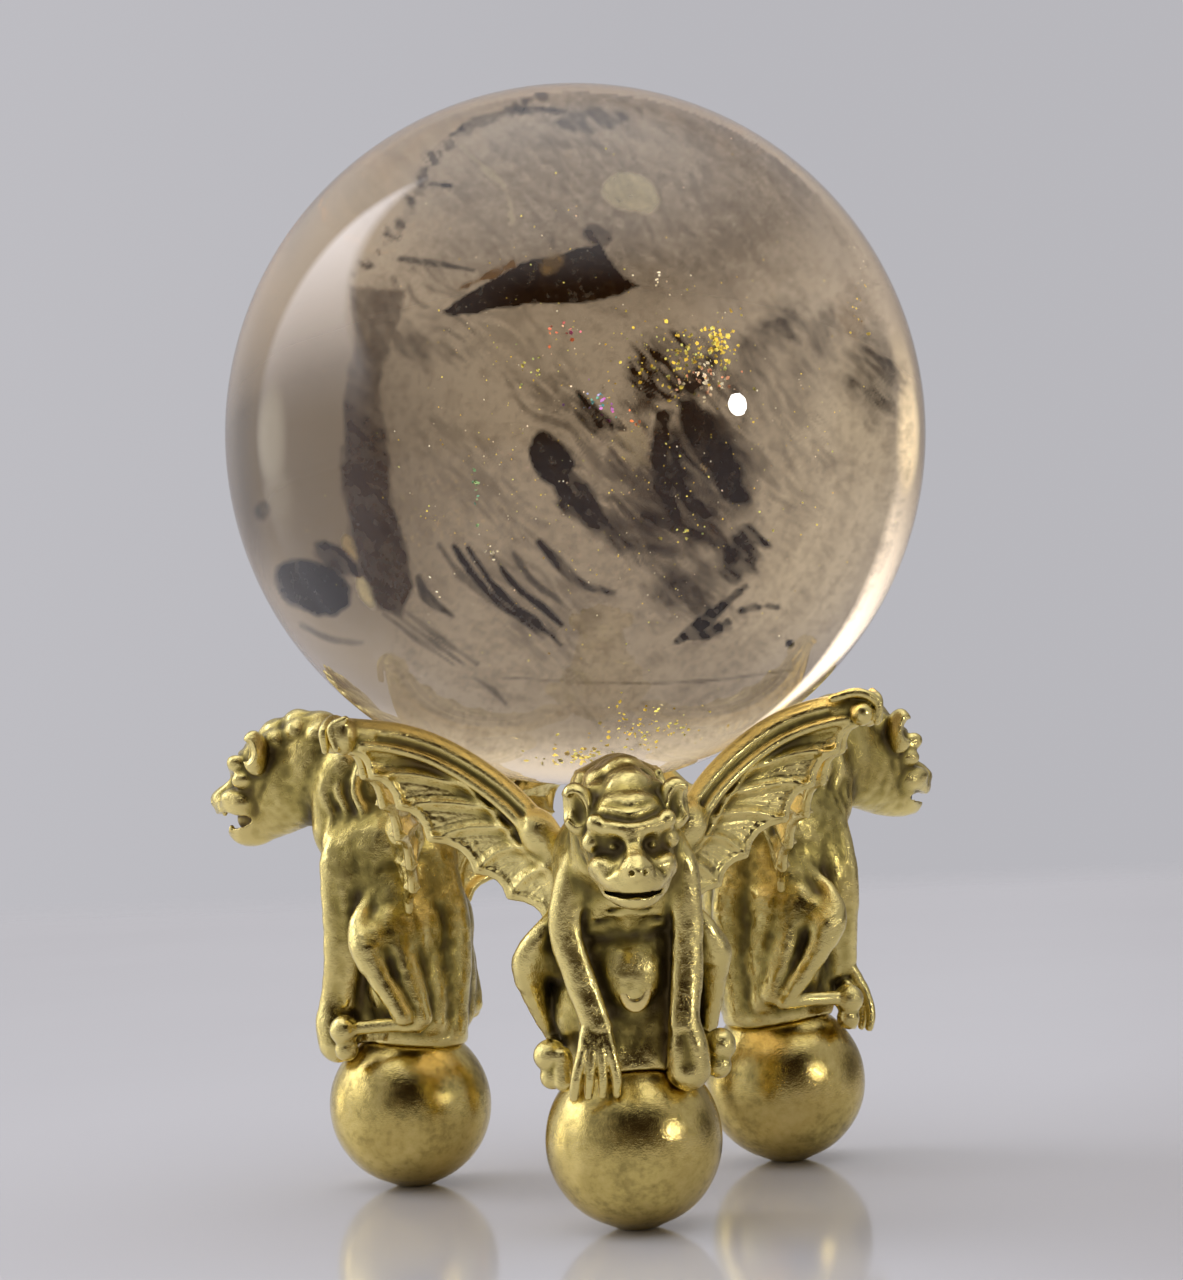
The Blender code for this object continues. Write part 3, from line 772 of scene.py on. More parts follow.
class Veil:
    """A curved sheet of stain in the quartz, painted as it is seen from the front."""

    def __init__(self, depth, bulge, seed):
        count = int(2 * VEIL_REACH / VEIL_PITCH) + 1
        across = np.linspace(-VEIL_REACH, VEIL_REACH, count)
        self.x, self.z = np.meshgrid(across, across, indexing="ij")
        self.out = np.hypot(self.x, self.z)
        self.depth = depth + bulge * (self.out / VEIL_REACH) ** 2
        self.depth = self.depth + 1.6 * lattice_noise(self.x / 9 + 20, self.z / 9 + 20, seed)
        self.seed = seed
        self.stain = np.zeros_like(self.x)
        self.tint = np.zeros_like(self.x)

    def ragged(self, size, octaves=3):
        self.seed += 1
        return lattice_noise(self.x / size + 60, self.z / size + 60, self.seed, octaves)

    def fibres(self, width):
        """Noise drawn out along the growth lines, which run down to the right."""
        self.seed += 1
        waver = 0.9 * lattice_noise(self.x / 4 + 20, self.z / 4 + 20, self.seed + 50)
        along, aside = (self.x - self.z) * sqrt(0.5), (self.x + self.z) * sqrt(0.5) + waver
        return lattice_noise(along / (5 * width) + 60, aside / width + 60, self.seed, 3)

    def stained(self, amount, tint):
        """Keeps the stain that is darker, at each place, and its tint."""
        self.tint = np.where(amount > self.stain, tint, self.tint)
        self.stain = np.maximum(self.stain, amount)

    def lay(self, inside, strength, tint, soft, fray, grain):
        """Stain wherever inside is above zero, with edges this soft and frayed and with grain that thins it.
        The tint goes from 0, blackish brown, through 0.5, amber, to 1, cream. The paler tints also glow in
        the quartz, a painted light."""
        inside = inside + fray * (0.6 * self.ragged(1.4) + 0.7 * self.fibres(0.6))
        amount = 1.3 * strength * np.clip(1.5 * inside / soft + 0.5, 0, 1)
        amount = np.minimum(amount * (1 - grain * np.clip(2 * self.fibres(0.36) + 0.5, 0, 1)), 1)
        self.stained(amount, tint)

    def streak(self, points, strength=0.85, tint=0, soft=0.3, fray=0.14, grain=0.4):
        """A stroke through (x, z, half width) points."""
        inside = inside_stroke(self.x, self.z, smooth_path(points))
        self.lay(inside, strength, tint, soft, fray, grain)

    def patch(self, x, z, radii, turn=0, strength=0.8, tint=0, soft=0.8, fray=0.5, grain=0.4):
        """An oval blotch, turned by this many degrees."""
        dx, dz, angle = self.x - x, self.z - z, radians(turn)
        along = (dx * cos(angle) + dz * sin(angle)) / radii[0]
        aside = (dz * cos(angle) - dx * sin(angle)) / radii[1]
        self.lay((1 - np.hypot(along, aside)) * min(radii), strength, tint, soft, fray, grain)

    def area(self, outline, strength=0.8, tint=0, soft=0.3, fray=0.3, grain=0.4):
        inside = gap_inside(self.x, self.z, np.array(outline, float))
        self.lay(inside, strength, tint, soft, fray, grain)

    def speckle(self, outline, strength, size, seed):
        """Fine mottling inside an outline, in curved dashes that run round the ball."""
        around = np.arctan2(self.z, self.x)
        dashes = lattice_noise(self.out / size + 30, around * 9 + 60, seed, 2)
        spots = lattice_noise(self.x / size + 60, self.z / size + 60, seed + 5, 3)
        broad = lattice_noise(self.x / 5 + 60, self.z / 5 + 60, seed + 9, 2)
        amount = np.clip(0.8 * dashes + 1.2 * spots + 0.35 * broad + 0.05, 0, 1)
        inside = gap_inside(self.x, self.z, outline)
        self.stained(strength * amount * np.clip(inside / 1.5, 0, 1), 0.3)

    def make(self, name, look):
        right, up, back = (np.array(axis) for axis in camera_axes())
        x, z, depth = bent_sight(self.x, self.z, self.depth)
        points = x[..., None] * right + z[..., None] * up - depth[..., None] * back
        points = points.reshape(-1, 3) * MM + np.array(BALL_CENTRE)
        quads = grid_quads(self.x.shape[0])
        stain = np.where(self.out < VEIL_REACH - VEIL_MARGIN, self.stain, 0).ravel()
        shown = (stain[quads].max(1) > 0.03) & (self.out.ravel()[quads].max(1) < VEIL_REACH)
        used, quads = np.unique(quads[shown], return_inverse=True)
        quads = quads.reshape(-1, 4)
        veil = mesh_object(name, points[used], quads, look, stain=stain[used], tint=self.tint.ravel()[used])
        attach(veil, BALL)


# The edge between the clear crescent on the left and the included quartz, as (x, z).
CLEAR_EDGE = (
    (-1.8, 24.3), (-6, 21.8), (-8.4, 20.6), (-10.4, 18.6), (-11.6, 15.8), (-13.4, 13.2),
    (-15.6, 11.2), (-15.5, 6.8), (-16.5, 2.7), (-16.7, -3.8), (-16.1, -7.1), (-15.5, -9.6),
    (-13.8, -13.3), (-14.2, -17), (-13, -21.5),
)


def make_veils(look):
    front, middle, back = Veil(-9, 6, 100), Veil(-1, 3, 200), Veil(8, -5, 300)
    included = np.array([*CLEAR_EDGE, (-10, -30), (30, -30), (30, 30), (-1.8, 30)])
    front.speckle(included, 0.2, 0.3, 140)
    middle.speckle(included, 0.18, 0.45, 240)
    back.speckle(included, 0.12, 1.1, 340)

    # the dark flake like a boat in the upper middle, with an amber edge
    middle.area(
        (
            (-9.6, 8.8), (-7.4, 10.2), (-5.2, 11.4), (-3.8, 12.2), (-1, 12.7), (0.1, 13.3), (1.9, 13.4),
            (2.7, 12.2), (3.5, 11.3), (4.6, 10.6), (3, 9.8), (0.8, 9.3), (-2.4, 9.3), (-6, 8.9), (-8.8, 8.5),
        ),
        1, 0.02, soft=0.3, fray=0.25, grain=0.1,
    )
    middle.area(((-8.4, 10.3), (-6.4, 11.6), (-4.4, 12.5), (-4, 11.9), (-6, 11)), 0.8, 0.45, 0.4, 0.3, 0.3)
    front.patch(-1.6, 11.6, (0.9, 0.6), 30, 0.5, 0.55, 0.5, 0.4, 0.3)
    middle.patch(1.6, 14.3, (1, 0.7), -20, 0.85, 0.1, 0.3, 0.3)
    front.streak(((-12.4, 12, 0.2), (-9.2, 11.5, 0.22), (-7.2, 11.1, 0.1)), 0.6)
    front.streak(((-10.2, 17.4, 0.15), (-8.8, 17.3, 0.15)), 0.8, soft=0.2)
    # the speckled edge of the included part
    front.streak([(x, z, 0.3) for x, z in CLEAR_EDGE[:7]], 0.6, 0.08, 0.6, 0.9, 0.9)
    front.streak(
        ((-9.6, 20.4, 0.15), (-6.2, 22.1, 0.2), (-3.4, 22.7, 0.2), (-0.6, 22.5, 0.15)), 0.7, fray=0.5
    )
    front.streak(
        ((-1.6, 21.5, 0.5), (1.2, 21.8, 0.7), (4, 22.2, 0.4)), 0.6, 0.05, soft=0.7, fray=0.9, grain=0.9
    )
    front.streak(
        ((-3.6, 19.8, 0.2), (-0.4, 20.4, 0.4), (3.4, 19.6, 0.2)), 0.4, 0.1, soft=0.8, fray=0.9, grain=0.9
    )
    for x, foot in ((-1.4, 13.6), (1, 15.4), (3, 15.6)):
        middle.streak(((x, 20.6, 0.12), (x + 0.4, 17.4, 0.3), (x - 0.3, foot, 0.12)), 0.25, 0.1, 0.7, 0.3)

    # the dark band down the left, sharp on its outer side
    band = (
        (-16, 10.6), (-15.7, 6.8), (-16.5, 3), (-16.7, -3.8), (-16.1, -7.1), (-15.5, -9.6), (-14.4, -12.4),
        (-12.6, -13), (-11.7, -10.8), (-12.4, -7.6), (-13.2, -4.6), (-13.5, 0.4), (-14, 3.6), (-12.8, 7),
        (-12, 10.4),
    )
    middle.area(band, 0.5, 0.14, 0.5, 0.35, 0.25)
    middle.area(band[2:-3], 0.72, 0.14, 0.5, 0.3, 0.15)
    middle.patch(-14.7, 3.2, (1.1, 2.6), 0, 0.2, 0.3, 1.2, 0.3)
    middle.patch(-11.5, 6.3, (2.4, 1), -35, 0.42, 0.1, 1.2, 0.8, 0.6)
    # the dark oval low on the left rim, with yellow spots beside it
    back.patch(-19, -10.6, (2.7, 1.9), -22, 1, 0, 0.6, 0.3, 0.05)
    back.patch(-17.4, -8.4, (1.8, 0.7), -35, 0.85, 0.08, 0.4, 0.5)
    back.patch(-16.3, -7.5, (0.5, 0.9), 30, 0.75, 0.75, 0.4, 0.2)
    back.patch(-15.2, -10.8, (0.5, 1.1), 25, 0.7, 0.95, 0.5, 0.2, 0.1)
    back.streak(((-20, -13.4, 0.2), (-17.8, -14.4, 0.22), (-15.6, -14.6, 0.1)), 0.45, soft=0.4)
    front.patch(-22.4, -5.6, (0.5, 0.7), 0, 0.7, 0, 0.5, 0.2)
    front.streak(((-23.3, 9, 0.12), (-22.3, 10.6, 0.15)), 0.9, soft=0.2, fray=0.3)

    # growth tubes, in two groups that run down to the right
    for shift, length, strength in (
        (0, 1, 0.8), (1, 1.05, 0.85), (2.6, 0.8, 0.8), (4.3, 0.62, 0.55), (-1.1, 0.7, 0.45),
    ):
        top = np.array((-8.7 + shift, -8.6 - 0.12 * shift))
        ways = np.array(((1.6, -2.4), (3.4, -4.2), (4.6, -5), (6.4, -6.6))) * length
        line = [(*top, 0.12)] + [(*(top + way), 0.24) for way in ways[:-1]] + [(*(top + ways[-1]), 0.1)]
        front.streak(line, 1.15 * strength, 0.03, 0.28, 0.22, 0.15)
    front.streak(
        ((-2.6, -8.3, 0.2), (-1.4, -9.6, 0.45), (0.5, -11.3, 0.3), (2.8, -11.9, 0.2)), 0.8, 0.05, 0.4
    )
    middle.area(
        ((-8.6, -8.2), (-4.6, -8.4), (2.8, -11.6), (1.2, -14.6), (-3.4, -14.8)), 0.3, 0.15, 1.5, 0.5, 0.6
    )
    front.streak(((-11.3, -10.8, 0.2), (-10.6, -12.2, 0.42), (-8.8, -13.6, 0.12)), 0.65)
    for shift in (0, 0.8, 1.7):
        front.streak(
            ((-13.8 + shift, -13.3, 0.1), (-11.2 + shift, -15.3, 0.22), (-8.8 + shift, -17, 0.1)), 0.5
        )
    front.streak(((-7.4, -17.9, 0.1), (-6, -18.8, 0.22), (-5, -19.8, 0.1)), 0.6)

    # a broad faint veil that darkens the whole top of the ball, and a smokier zone behind the wisps
    back.patch(4, 17.6, (16, 7.6), 0, 0.42, 0.16, 6, 0.8, 0.25)
    back.patch(8, -3, (4.6, 5.6), -40, 0.55, 0.12, 3, 1.2, 0.35)
    middle.patch(8.6, -2.6, (3.6, 2.2), -52, 0.8, 0.04, 1.2, 1.4, 0.7)
    # smoky wisps in the middle
    middle.patch(-1.7, -1.9, (2.1, 1.3), -62, 1, 0.02, 0.5, 0.4, 0.15)
    middle.patch(0.1, -4.7, (2.8, 1.2), -48, 0.85, 0.04, 0.9, 0.7, 0.3)
    middle.streak(((-0.4, -5, 0.7), (2.2, -7, 0.9), (4.6, -8, 0.5), (8, -8.3, 0.3)), 0.7, 0.08, 1, 0.8, 0.4)
    middle.streak(
        ((2.4, -1.6, 0.4), (5.2, -4, 1), (8.2, -6.2, 1.1), (11.4, -8.4, 0.7)), 0.62, 0.12, 1, 0.8, 0.45
    )
    middle.streak(
        ((6.3, 1.6, 0.4), (6, -1, 0.5), (6.4, -4, 0.6), (7.3, -6.4, 0.4)), 0.95, 0.05, 0.4, 0.5, 0.3
    )
    middle.streak(
        ((7.4, 2.6, 0.4), (9, 0.6, 1.1), (10.6, -1.8, 1.2), (11.6, -4.2, 0.7)), 0.92, 0.02, 0.8, 0.7, 0.3
    )
    middle.streak(((7.2, -3.2, 0.4), (8.4, -5.2, 0.6), (9.9, -5.4, 0.3)), 0.85, 0.05, 0.5, 0.6, 0.35)
    middle.streak(((5, -5.7, 0.2), (8.4, -6.9, 0.4), (11.4, -8.4, 0.35)), 0.85, 0.05, 0.35, 0.5, 0.3)
    middle.streak(((2.6, -4.4, 0.2), (6, -7.4, 0.3), (9.6, -9.4, 0.2)), 0.5, 0.1, 0.5, 0.5)
    front.patch(12, -9.2, (2.1, 1.3), 55, 0.85, 0.03, 0.9, 0.9, 0.4)
    middle.streak(((0.2, 3, 0.5), (1.4, 1.2, 0.7), (3.4, 0.4, 0.3)), 0.85, 0.03, 0.5, 0.8, 0.4)
    middle.patch(4, -0.8, (1.3, 1.8), 20, 0.32, 0.8, 1.2, 0.4)
    middle.streak(((7.8, 1.3, 0.15), (8.8, -0.6, 0.2), (9.4, -2.8, 0.15)), 0.5, 0.9, 0.4, 0.3)
    back.patch(8, -10.4, (3, 1.9), 20, 0.62, 0.06, 2, 0.9, 0.3)
    # the grain round the golden cluster
    middle.patch(7, 4.8, (3.2, 2.4), 20, 0.8, 0.06, 1.2, 1.3, 0.75)
    middle.patch(4.4, 2.6, (2, 1.2), -60, 0.6, 0.1, 1, 1, 0.7)

    # black dashes low on the right
    front.streak(
        ((6.6, -15.7, 0.12), (8.6, -14.5, 0.3), (10.4, -13, 0.4), (12.3, -11.4, 0.15)), 0.85, 0, 0.3, 0.4
    )
    front.streak(((8.6, -15.1, 0.15), (9.8, -14.6, 0.3), (11, -13.9, 0.12)), 0.8, 0, 0.25, 0.3)
    front.streak(((12, -13.1, 0.12), (13.2, -12.8, 0.24), (14.6, -12.8, 0.1)), 0.7, 0, 0.3, 0.3)
    front.patch(15.5, -15.3, (0.28, 0.28), 0, 0.9, 0, 0.2, 0.05, 0)
    # fine fibres all through the middle and the right
    for x, z, length, strength in (
        (-4, 6, 7, 0.2), (0.5, -1, 6, 0.4), (3, -5.6, 6, 0.4), (6, -8.6, 6, 0.4),
        (9.5, 2, 5, 0.5), (-6.5, -4, 5, 0.25), (-2.5, -14.5, 6, 0.25), (13, -2, 6, 0.25),
        (15.5, 1, 5, 0.25), (-9.5, 8, 4, 0.35),
    ):
        front.patch(x, z, (length, 2), -48, strength, 0.08, 1.5, 1.6, 0.95)
    # clouds on the right
    middle.patch(14.4, 7.6, (1.9, 1.4), 40, 0.62, 0.04, 1.6, 0.9, 0.5)
    middle.patch(12.3, 5.2, (1.2, 2.2), -8, 0.5, 0.08, 1.8, 0.9, 0.6)
    middle.patch(16.3, 4.6, (1, 2), -15, 0.35, 0.08, 1.8, 0.9, 0.6)
    back.patch(21.2, 4.6, (1.8, 3), 10, 0.62, 0.04, 2.2, 1, 0.55)
    back.patch(19.6, 8.6, (1.2, 2.4), 20, 0.32, 0.5, 1.4, 0.8, 0.5)
    back.patch(17.6, 7.6, (0.9, 1.8), 10, 0.4, 0.1, 1, 0.8, 0.5)
    back.streak(((10, -12, 0.6), (15, -6.5, 1), (18.5, -1.5, 0.6)), 0.2, 0.2, 2, 0.8, 0.5)
    # a pale oval in the upper middle, and a fine fracture low down
    front.patch(3.9, 16.7, (2, 1.35), -8, 0.34, 0.97, 0.4, 0.2, 0.25)
    front.patch(4.9, 16.1, (1.1, 0.9), 0, 0.3, 1, 0.4, 0.2, 0.3)
    front.streak(
        ((-6, -17.9, 0.06), (2, -18.3, 0.1), (9, -18.1, 0.1), (16, -17.1, 0.06)), 0.4, 0.1, 0.2, 0.08
    )
    front.streak(((-8, 20, 0.1), (-5, 17, 0.2), (-4.5, 14.5, 0.1)), 0.2, 0.9, 0.4, 0.4)
    # faint folds that follow the ball's outline round the lower right
    for reach, strength in ((14.5, 0.22), (17.2, 0.2), (20, 0.18)):
        turns = np.radians((-78, -58, -40, -20, 0))
        back.streak([(reach * cos(t), reach * sin(t), 0.5) for t in turns], strength, 0.15, 1, 0.9, 0.7)

    for veil, name in ((front, "veil_front"), (middle, "veil_middle"), (back, "veil_back")):
        veil.make(name, look)


FLAKE_SIDES = 5
FLAKE_SIZE = 0.55  # the share of its swarm's sizes that a flake has


def make_flakes(look):
    """Small flakes that show interference colours, in a few loose swarms, made bright by a painted glow in
    their material.
    """
    random = np.random.default_rng(77)
    # where each swarm is, its spread, how many flakes, their size, and the range of their hue,
    # which goes from 0, gold, through green, blue and violet to 0.8, orange, and 1, white
    swarms = (
        ((8, 5.6), (3, 2), 150, (0.06, 0.22), (0, 0.18)),
        ((10.2, 6.4), (1, 1.2), 60, (0.08, 0.26), (0, 0.12)),
        ((9.4, 3.9), (1.6, 0.8), 60, (0.08, 0.26), (0.84, 1)),
        ((7, 3.2), (0.6, 0.3), 6, (0.16, 0.26), (0.02, 0.1)),
        ((1.2, 2.6), (1.6, 0.9), 16, (0.08, 0.18), (0.4, 0.62)),
        ((2.3, 1.9), (0.5, 0.5), 9, (0.12, 0.24), (0.6, 0.68)),
        ((4.2, 1.35), (0.35, 0.06), 4, (0.14, 0.2), (0.8, 0.86)),
        ((-1.2, 7.4), (1, 0.8), 12, (0.08, 0.2), (0.7, 0.9)),
        ((-3.2, 5), (1, 1.4), 12, (0.08, 0.18), (0.1, 0.25)),
        ((5.9, 11), (0.3, 0.5), 5, (0.10, 0.22), (0.95, 1)),
        ((-7.2, -4), (0.18, 1.2), 12, (0.10, 0.22), (0.25, 0.4)),
        ((-6, -8.6), (0.6, 0.5), 7, (0.10, 0.22), (0.95, 1)),
        ((-10, -11.2), (0.9, 0.6), 6, (0.08, 0.18), (0.9, 1)),
        ((-0.6, -3.6), (0.4, 0.4), 5, (0.10, 0.2), (0.9, 1)),
        ((8, -6.8), (1.4, 0.5), 12, (0.08, 0.18), (0.05, 0.2)),
        ((5, -21.4), (3.6, 1.3), 110, (0.06, 0.22), (0, 0.14)),
        ((0, -23.4), (3, 0.5), 60, (0.14, 0.34), (0.02, 0.1)),
        ((3, 0), (14, 14), 420, (0.04, 0.10), (0, 0.16)),
        ((3, 0), (14, 14), 160, (0.04, 0.10), (0.9, 1)),
        ((19.8, 9), (0.9, 1.6), 16, (0.07, 0.16), (0, 0.08)),
        ((20.4, 12.8), (1, 1.6), 12, (0.05, 0.10), (0.95, 1)),
    )
    right, up, back = (np.array(axis) for axis in camera_axes())
    points, faces, hues = [], [], []
    for (x, z), spread, count, sizes, hue in swarms:
        places = random.normal(0, 0.6, (count, 2)) * spread + (x, z)
        places *= np.minimum(1, 23.8 / np.hypot(*places.T))[:, None]
        depths = random.uniform(-8, 6, count)
        across, height, depth = bent_sight(places[:, 0], places[:, 1], depths)
        for i in range(count):
            centre = across[i] * right + height[i] * up - depth[i] * back
            facing = back + random.normal(0, 0.45, 3)
            facing /= np.linalg.norm(facing)
            first = np.cross(facing, random.normal(0, 1, 3))
            first /= np.linalg.norm(first)
            second = np.cross(facing, first)
            size = FLAKE_SIZE * random.uniform(*sizes)
            shade = random.uniform(*hue)
            corners = random.uniform(0.5, 1.3, FLAKE_SIDES) * size
            turns = np.arange(FLAKE_SIDES) * 2 * pi / FLAKE_SIDES
            ring = [centre + r * (cos(t) * first + sin(t) * second) for r, t in zip(corners, turns)]
            start = len(points)
            points += [centre, *ring]
            hues += [shade] * (1 + FLAKE_SIDES)
            faces += [(start, start + 1 + k, start + 1 + (k + 1) % FLAKE_SIDES) for k in range(FLAKE_SIDES)]
    points = np.array(points) * MM + np.array(BALL_CENTRE)
    flakes = mesh_object("rainbow_flakes", points, faces, look, hue=hues)
    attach(flakes, BALL)


# ---------------------------------------------------------------- materials


class Graph:
    """A node tree, written as one call for each node."""

    def __init__(self, tree):
        self.tree = tree
        tree.nodes.clear()

    def node(self, kind, inputs=None, **settings):
        made = self.tree.nodes.new("ShaderNode" + kind)
        for key, value in settings.items():
            setattr(made, key, value)
        for key, value in (inputs or {}).items():
            self.fill(made.inputs[key], value)
        return made

    def fill(self, socket, value):
        if isinstance(value, bpy.types.NodeSocket):
            self.tree.links.new(value, socket)
        else:
            socket.default_value = value

    def math(self, operation, a, b=0, c=0):
        return self.node("Math", {0: a, 1: b, 2: c}, operation=operation).outputs[0]

    def noise(self, place, scale, detail=4, rough=0.5, distortion=0):
        inputs = {"Vector": place, "Scale": scale, "Detail": detail, "Roughness": rough}
        return self.node("TexNoise", {**inputs, "Distortion": distortion}).outputs["Fac"]

    def ramp(self, value, stops):
        made = self.node("ValToRGB", {"Fac": value})
        points = made.color_ramp.elements
        while len(points) < len(stops):
            points.new(0.5)
        for point, (at, colour) in zip(points, stops):
            point.position = at
            point.color = (*colour, 1)
        return made.outputs["Color"]

    def spread(self, value, low, high, to_low=0, to_high=1):
        """A value's way from low to high, clamped, as a way from to_low to to_high."""
        inputs = {"Value": value, "From Min": low, "From Max": high, "To Min": to_low, "To Max": to_high}
        return self.node("MapRange", inputs, clamp=True).outputs["Result"]

    def mix(self, share, a, b):
        made = self.node("Mix", data_type="RGBA")
        self.fill(made.inputs[0], share)
        for socket, colour in ((made.inputs[6], a), (made.inputs[7], b)):
            self.fill(socket, (*colour, 1) if isinstance(colour, tuple) else colour)
        return made.outputs[2]

    def attribute(self, name):
        return self.node("Attribute", attribute_name=name).outputs["Fac"]

    def principled(self, inputs):
        return self.node("BsdfPrincipled", inputs).outputs["BSDF"]

    def bump(self, height, strength, distance, below=None):
        inputs = {"Height": height, "Strength": strength, "Distance": distance}
        if below is not None:
            inputs["Normal"] = below
        return self.node("Bump", inputs).outputs["Normal"]


def new_material(name):
    """A material, its graph, and the object's own coordinates in it."""
    look = bpy.data.materials.new(name)
    look.use_nodes = True
    g = Graph(look.node_tree)
    return look, g, g.node("TexCoord").outputs["Object"]


def brass(name, bright, middle, deep, shine, dull, relief_weight=1, mottle=0.045):
    """Antiqued brass: bright where it stands proud, dark where polish never reaches. Shine and
    dull are its roughness in the one and in the other."""
    look, g, place = new_material(name)
    stain = g.noise(place, 260, 5, 0.6)
    fleck = g.noise(place, 1500, 3, 0.6)
    proud = g.math("MULTIPLY", g.attribute("fine"), 1.5 * relief_weight)
    lie = g.math("MULTIPLY", g.attribute("broad"), 1.3 * relief_weight)
    height = g.math("ADD", proud, lie)
    for spots in (stain, fleck):
        height = g.math("ADD", height, g.spread(spots, 0.3, 0.7, -mottle, mottle))
    worn = g.spread(height, -0.32, 0.3)
    dim = tuple(0.45 * m for m in middle)
    colour = g.ramp(worn, ((0, deep), (0.34, dim), (0.56, middle), (0.95, bright)))
    warm = g.noise(place, 120, 3, 0.5)
    colour = g.mix(g.spread(warm, 0.5, 0.75, 0, 0.25), colour, (0.44, 0.28, 0.08))
    rough = g.spread(worn, 0.2, 0.7, dull, shine)
    rough = g.math("ADD", rough, g.spread(fleck, 0.35, 0.7, -0.03, 0.06))
    # casting pits and grain, and fine scratches that run several ways
    scratches = None
    for i, stretch in enumerate(((1, 9, 1), (8, 1, 2), (2, 1, 9))):
        mapping = {"Vector": place, "Rotation": (0.4 * i, 0.7 * i + 0.3, 0.5 * i), "Scale": stretch}
        one = g.noise(g.node("Mapping", mapping).outputs["Vector"], 900, 2, 0.5)
        scratches = one if scratches is None else g.math("MAXIMUM", scratches, one)
    pits = g.spread(g.noise(place, 1100, 5, 0.75), 0.25, 0.5)
    normal = g.bump(pits, 0.4 * relief_weight, 0.00012)
    normal = g.bump(g.noise(place, 3200, 4, 0.7), 0.22, 0.0001, normal)
    normal = g.bump(scratches, 0.12, 0.00012, normal)
    metal = g.spread(worn, 0.02, 0.28, 0.65, 1)
    surface = g.principled({"Base Color": colour, "Metallic": metal, "Roughness": rough, "Normal": normal})
    g.node("OutputMaterial", {"Surface": surface})
    return look


def quartz():
    """Polished smoky quartz: clear, brown through its depth, with the faintest wipe marks."""
    look, g, place = new_material("smoky quartz")
    wipe = g.noise(place, 90, 4, 0.55, 0.6)
    surface = g.principled(
        {
            "Base Color": (1, 1, 1, 1),
            "Roughness": g.spread(wipe, 0.5, 0.8, 0, 0.03),
            "IOR": QUARTZ_IOR,
            "Transmission Weight": 1,
        }
    )
    smoke = g.node("VolumeAbsorption", {"Color": (0.71, 0.48, 0.07, 1), "Density": 24})
    g.node("OutputMaterial", {"Surface": surface, "Volume": smoke.outputs["Volume"]})
    return look


def veil_stain_and_painted_glow():
    """Stain on a sheet inside the quartz: see-through, with fine grain, and a painted glow in its amber and
    cream that stands in for light.
    """
    look, g, place = new_material("veil stain and painted glow")
    grain = g.noise(place, 1900, 3, 0.65)
    stain = g.math("MULTIPLY", g.attribute("stain"), g.spread(grain, 0.3, 0.7, 0.85, 1.2))
    tint = g.attribute("tint")
    black, brown = (0.035, 0.018, 0.01), (0.13, 0.065, 0.022)
    amber, cream = (0.3, 0.17, 0.04), (0.85, 0.82, 0.58)
    colour = g.ramp(tint, ((0, black), (0.25, brown), (0.5, amber), (1, cream)))
    surface = g.principled(
        {
            "Base Color": colour,
            "Roughness": g.spread(grain, 0.3, 0.7, 0.5, 0.8),
            "Specular IOR Level": 0,
            "Alpha": g.spread(stain, 0, 1),
            # painted light: the paler the tint, the more the stain glows, as if lit
            "Emission Color": colour,
            "Emission Strength": g.math("MULTIPLY", tint, 0.3),
        }
    )
    g.node("OutputMaterial", {"Surface": surface})
    return look


def flakes_with_painted_glints():
    """Flakes in the colour that their hue stands for, with painted glints: they glow, some of them much
    brighter.
    """
    look, g, place = new_material("rainbow flakes with painted glints")
    colour = g.ramp(
        g.attribute("hue"),
        (
            (0, (0.75, 0.5, 0.05)),
            (0.12, (0.7, 0.66, 0.16)),
            (0.3, (0.3, 0.62, 0.34)),
            (0.48, (0.1, 0.42, 0.55)),
            (0.64, (0.55, 0.12, 0.62)),
            (0.82, (0.9, 0.26, 0.1)),
            (0.93, (0.75, 0.72, 0.6)),
        ),
    )
    painted_glint_spots = g.noise(place, 2600, 2, 0.5)
    surface = g.principled(
        {
            "Base Color": colour,
            "Metallic": 0.8,
            "Roughness": g.spread(painted_glint_spots, 0.3, 0.7, 0.2, 0.5),
            # painted glints: the flakes glow in their own colour, and much brighter in some spots
            "Emission Color": colour,
            "Emission Strength": g.spread(painted_glint_spots, 0.42, 0.62, 0.2, 1.8),
        }
    )
    g.node("OutputMaterial", {"Surface": surface})
    return look


# ---------------------------------------------------------------- stage

# The camera's turn to the right, its rise and its roll, in degrees.
CAMERA_TURN, CAMERA_RISE, CAMERA_ROLL = -5.48, -0.16, -2.92
CAMERA_AWAY = 0.2349  # from the place that it aims at
CAMERA_LENS = 92.1
AIM = (0.0004, 0, 0.03939)
LAMP_AROUND, LAMP_UP, LAMP_AWAY = 45.5, 4, 0.31
LAMP_SIZE, LAMP_RADIANCE = 0.034, 32


def camera_axes():
    """The camera's right, up and back."""
    turn, rise, roll = radians(CAMERA_TURN), radians(CAMERA_RISE), radians(CAMERA_ROLL)
    back = Vector((sin(turn) * cos(rise), -cos(turn) * cos(rise), sin(rise)))
    level = Vector((cos(turn), sin(turn), 0))
    right = cos(roll) * level + sin(roll) * back.cross(level)
    return right, back.cross(right), back


def add_camera():
    axes = camera_axes()
    data = bpy.data.cameras.new("camera")
    data.lens = CAMERA_LENS
    data.sensor_width = 36
    data.clip_start = 0.01
    camera = bpy.data.objects.new("camera", data)
    turned = Matrix(axes).transposed().to_4x4()
    camera.matrix_world = Matrix.Translation(Vector(AIM) + CAMERA_AWAY * axes[2]) @ turned
    bpy.context.scene.collection.objects.link(camera)
    bpy.context.scene.camera = camera


def direction(around, up):
    """A direction by its angle round to the right from the front, and up, in degrees."""
    a, e = radians(around), radians(up)
    return Vector((sin(a) * cos(e), -cos(a) * cos(e), sin(e)))


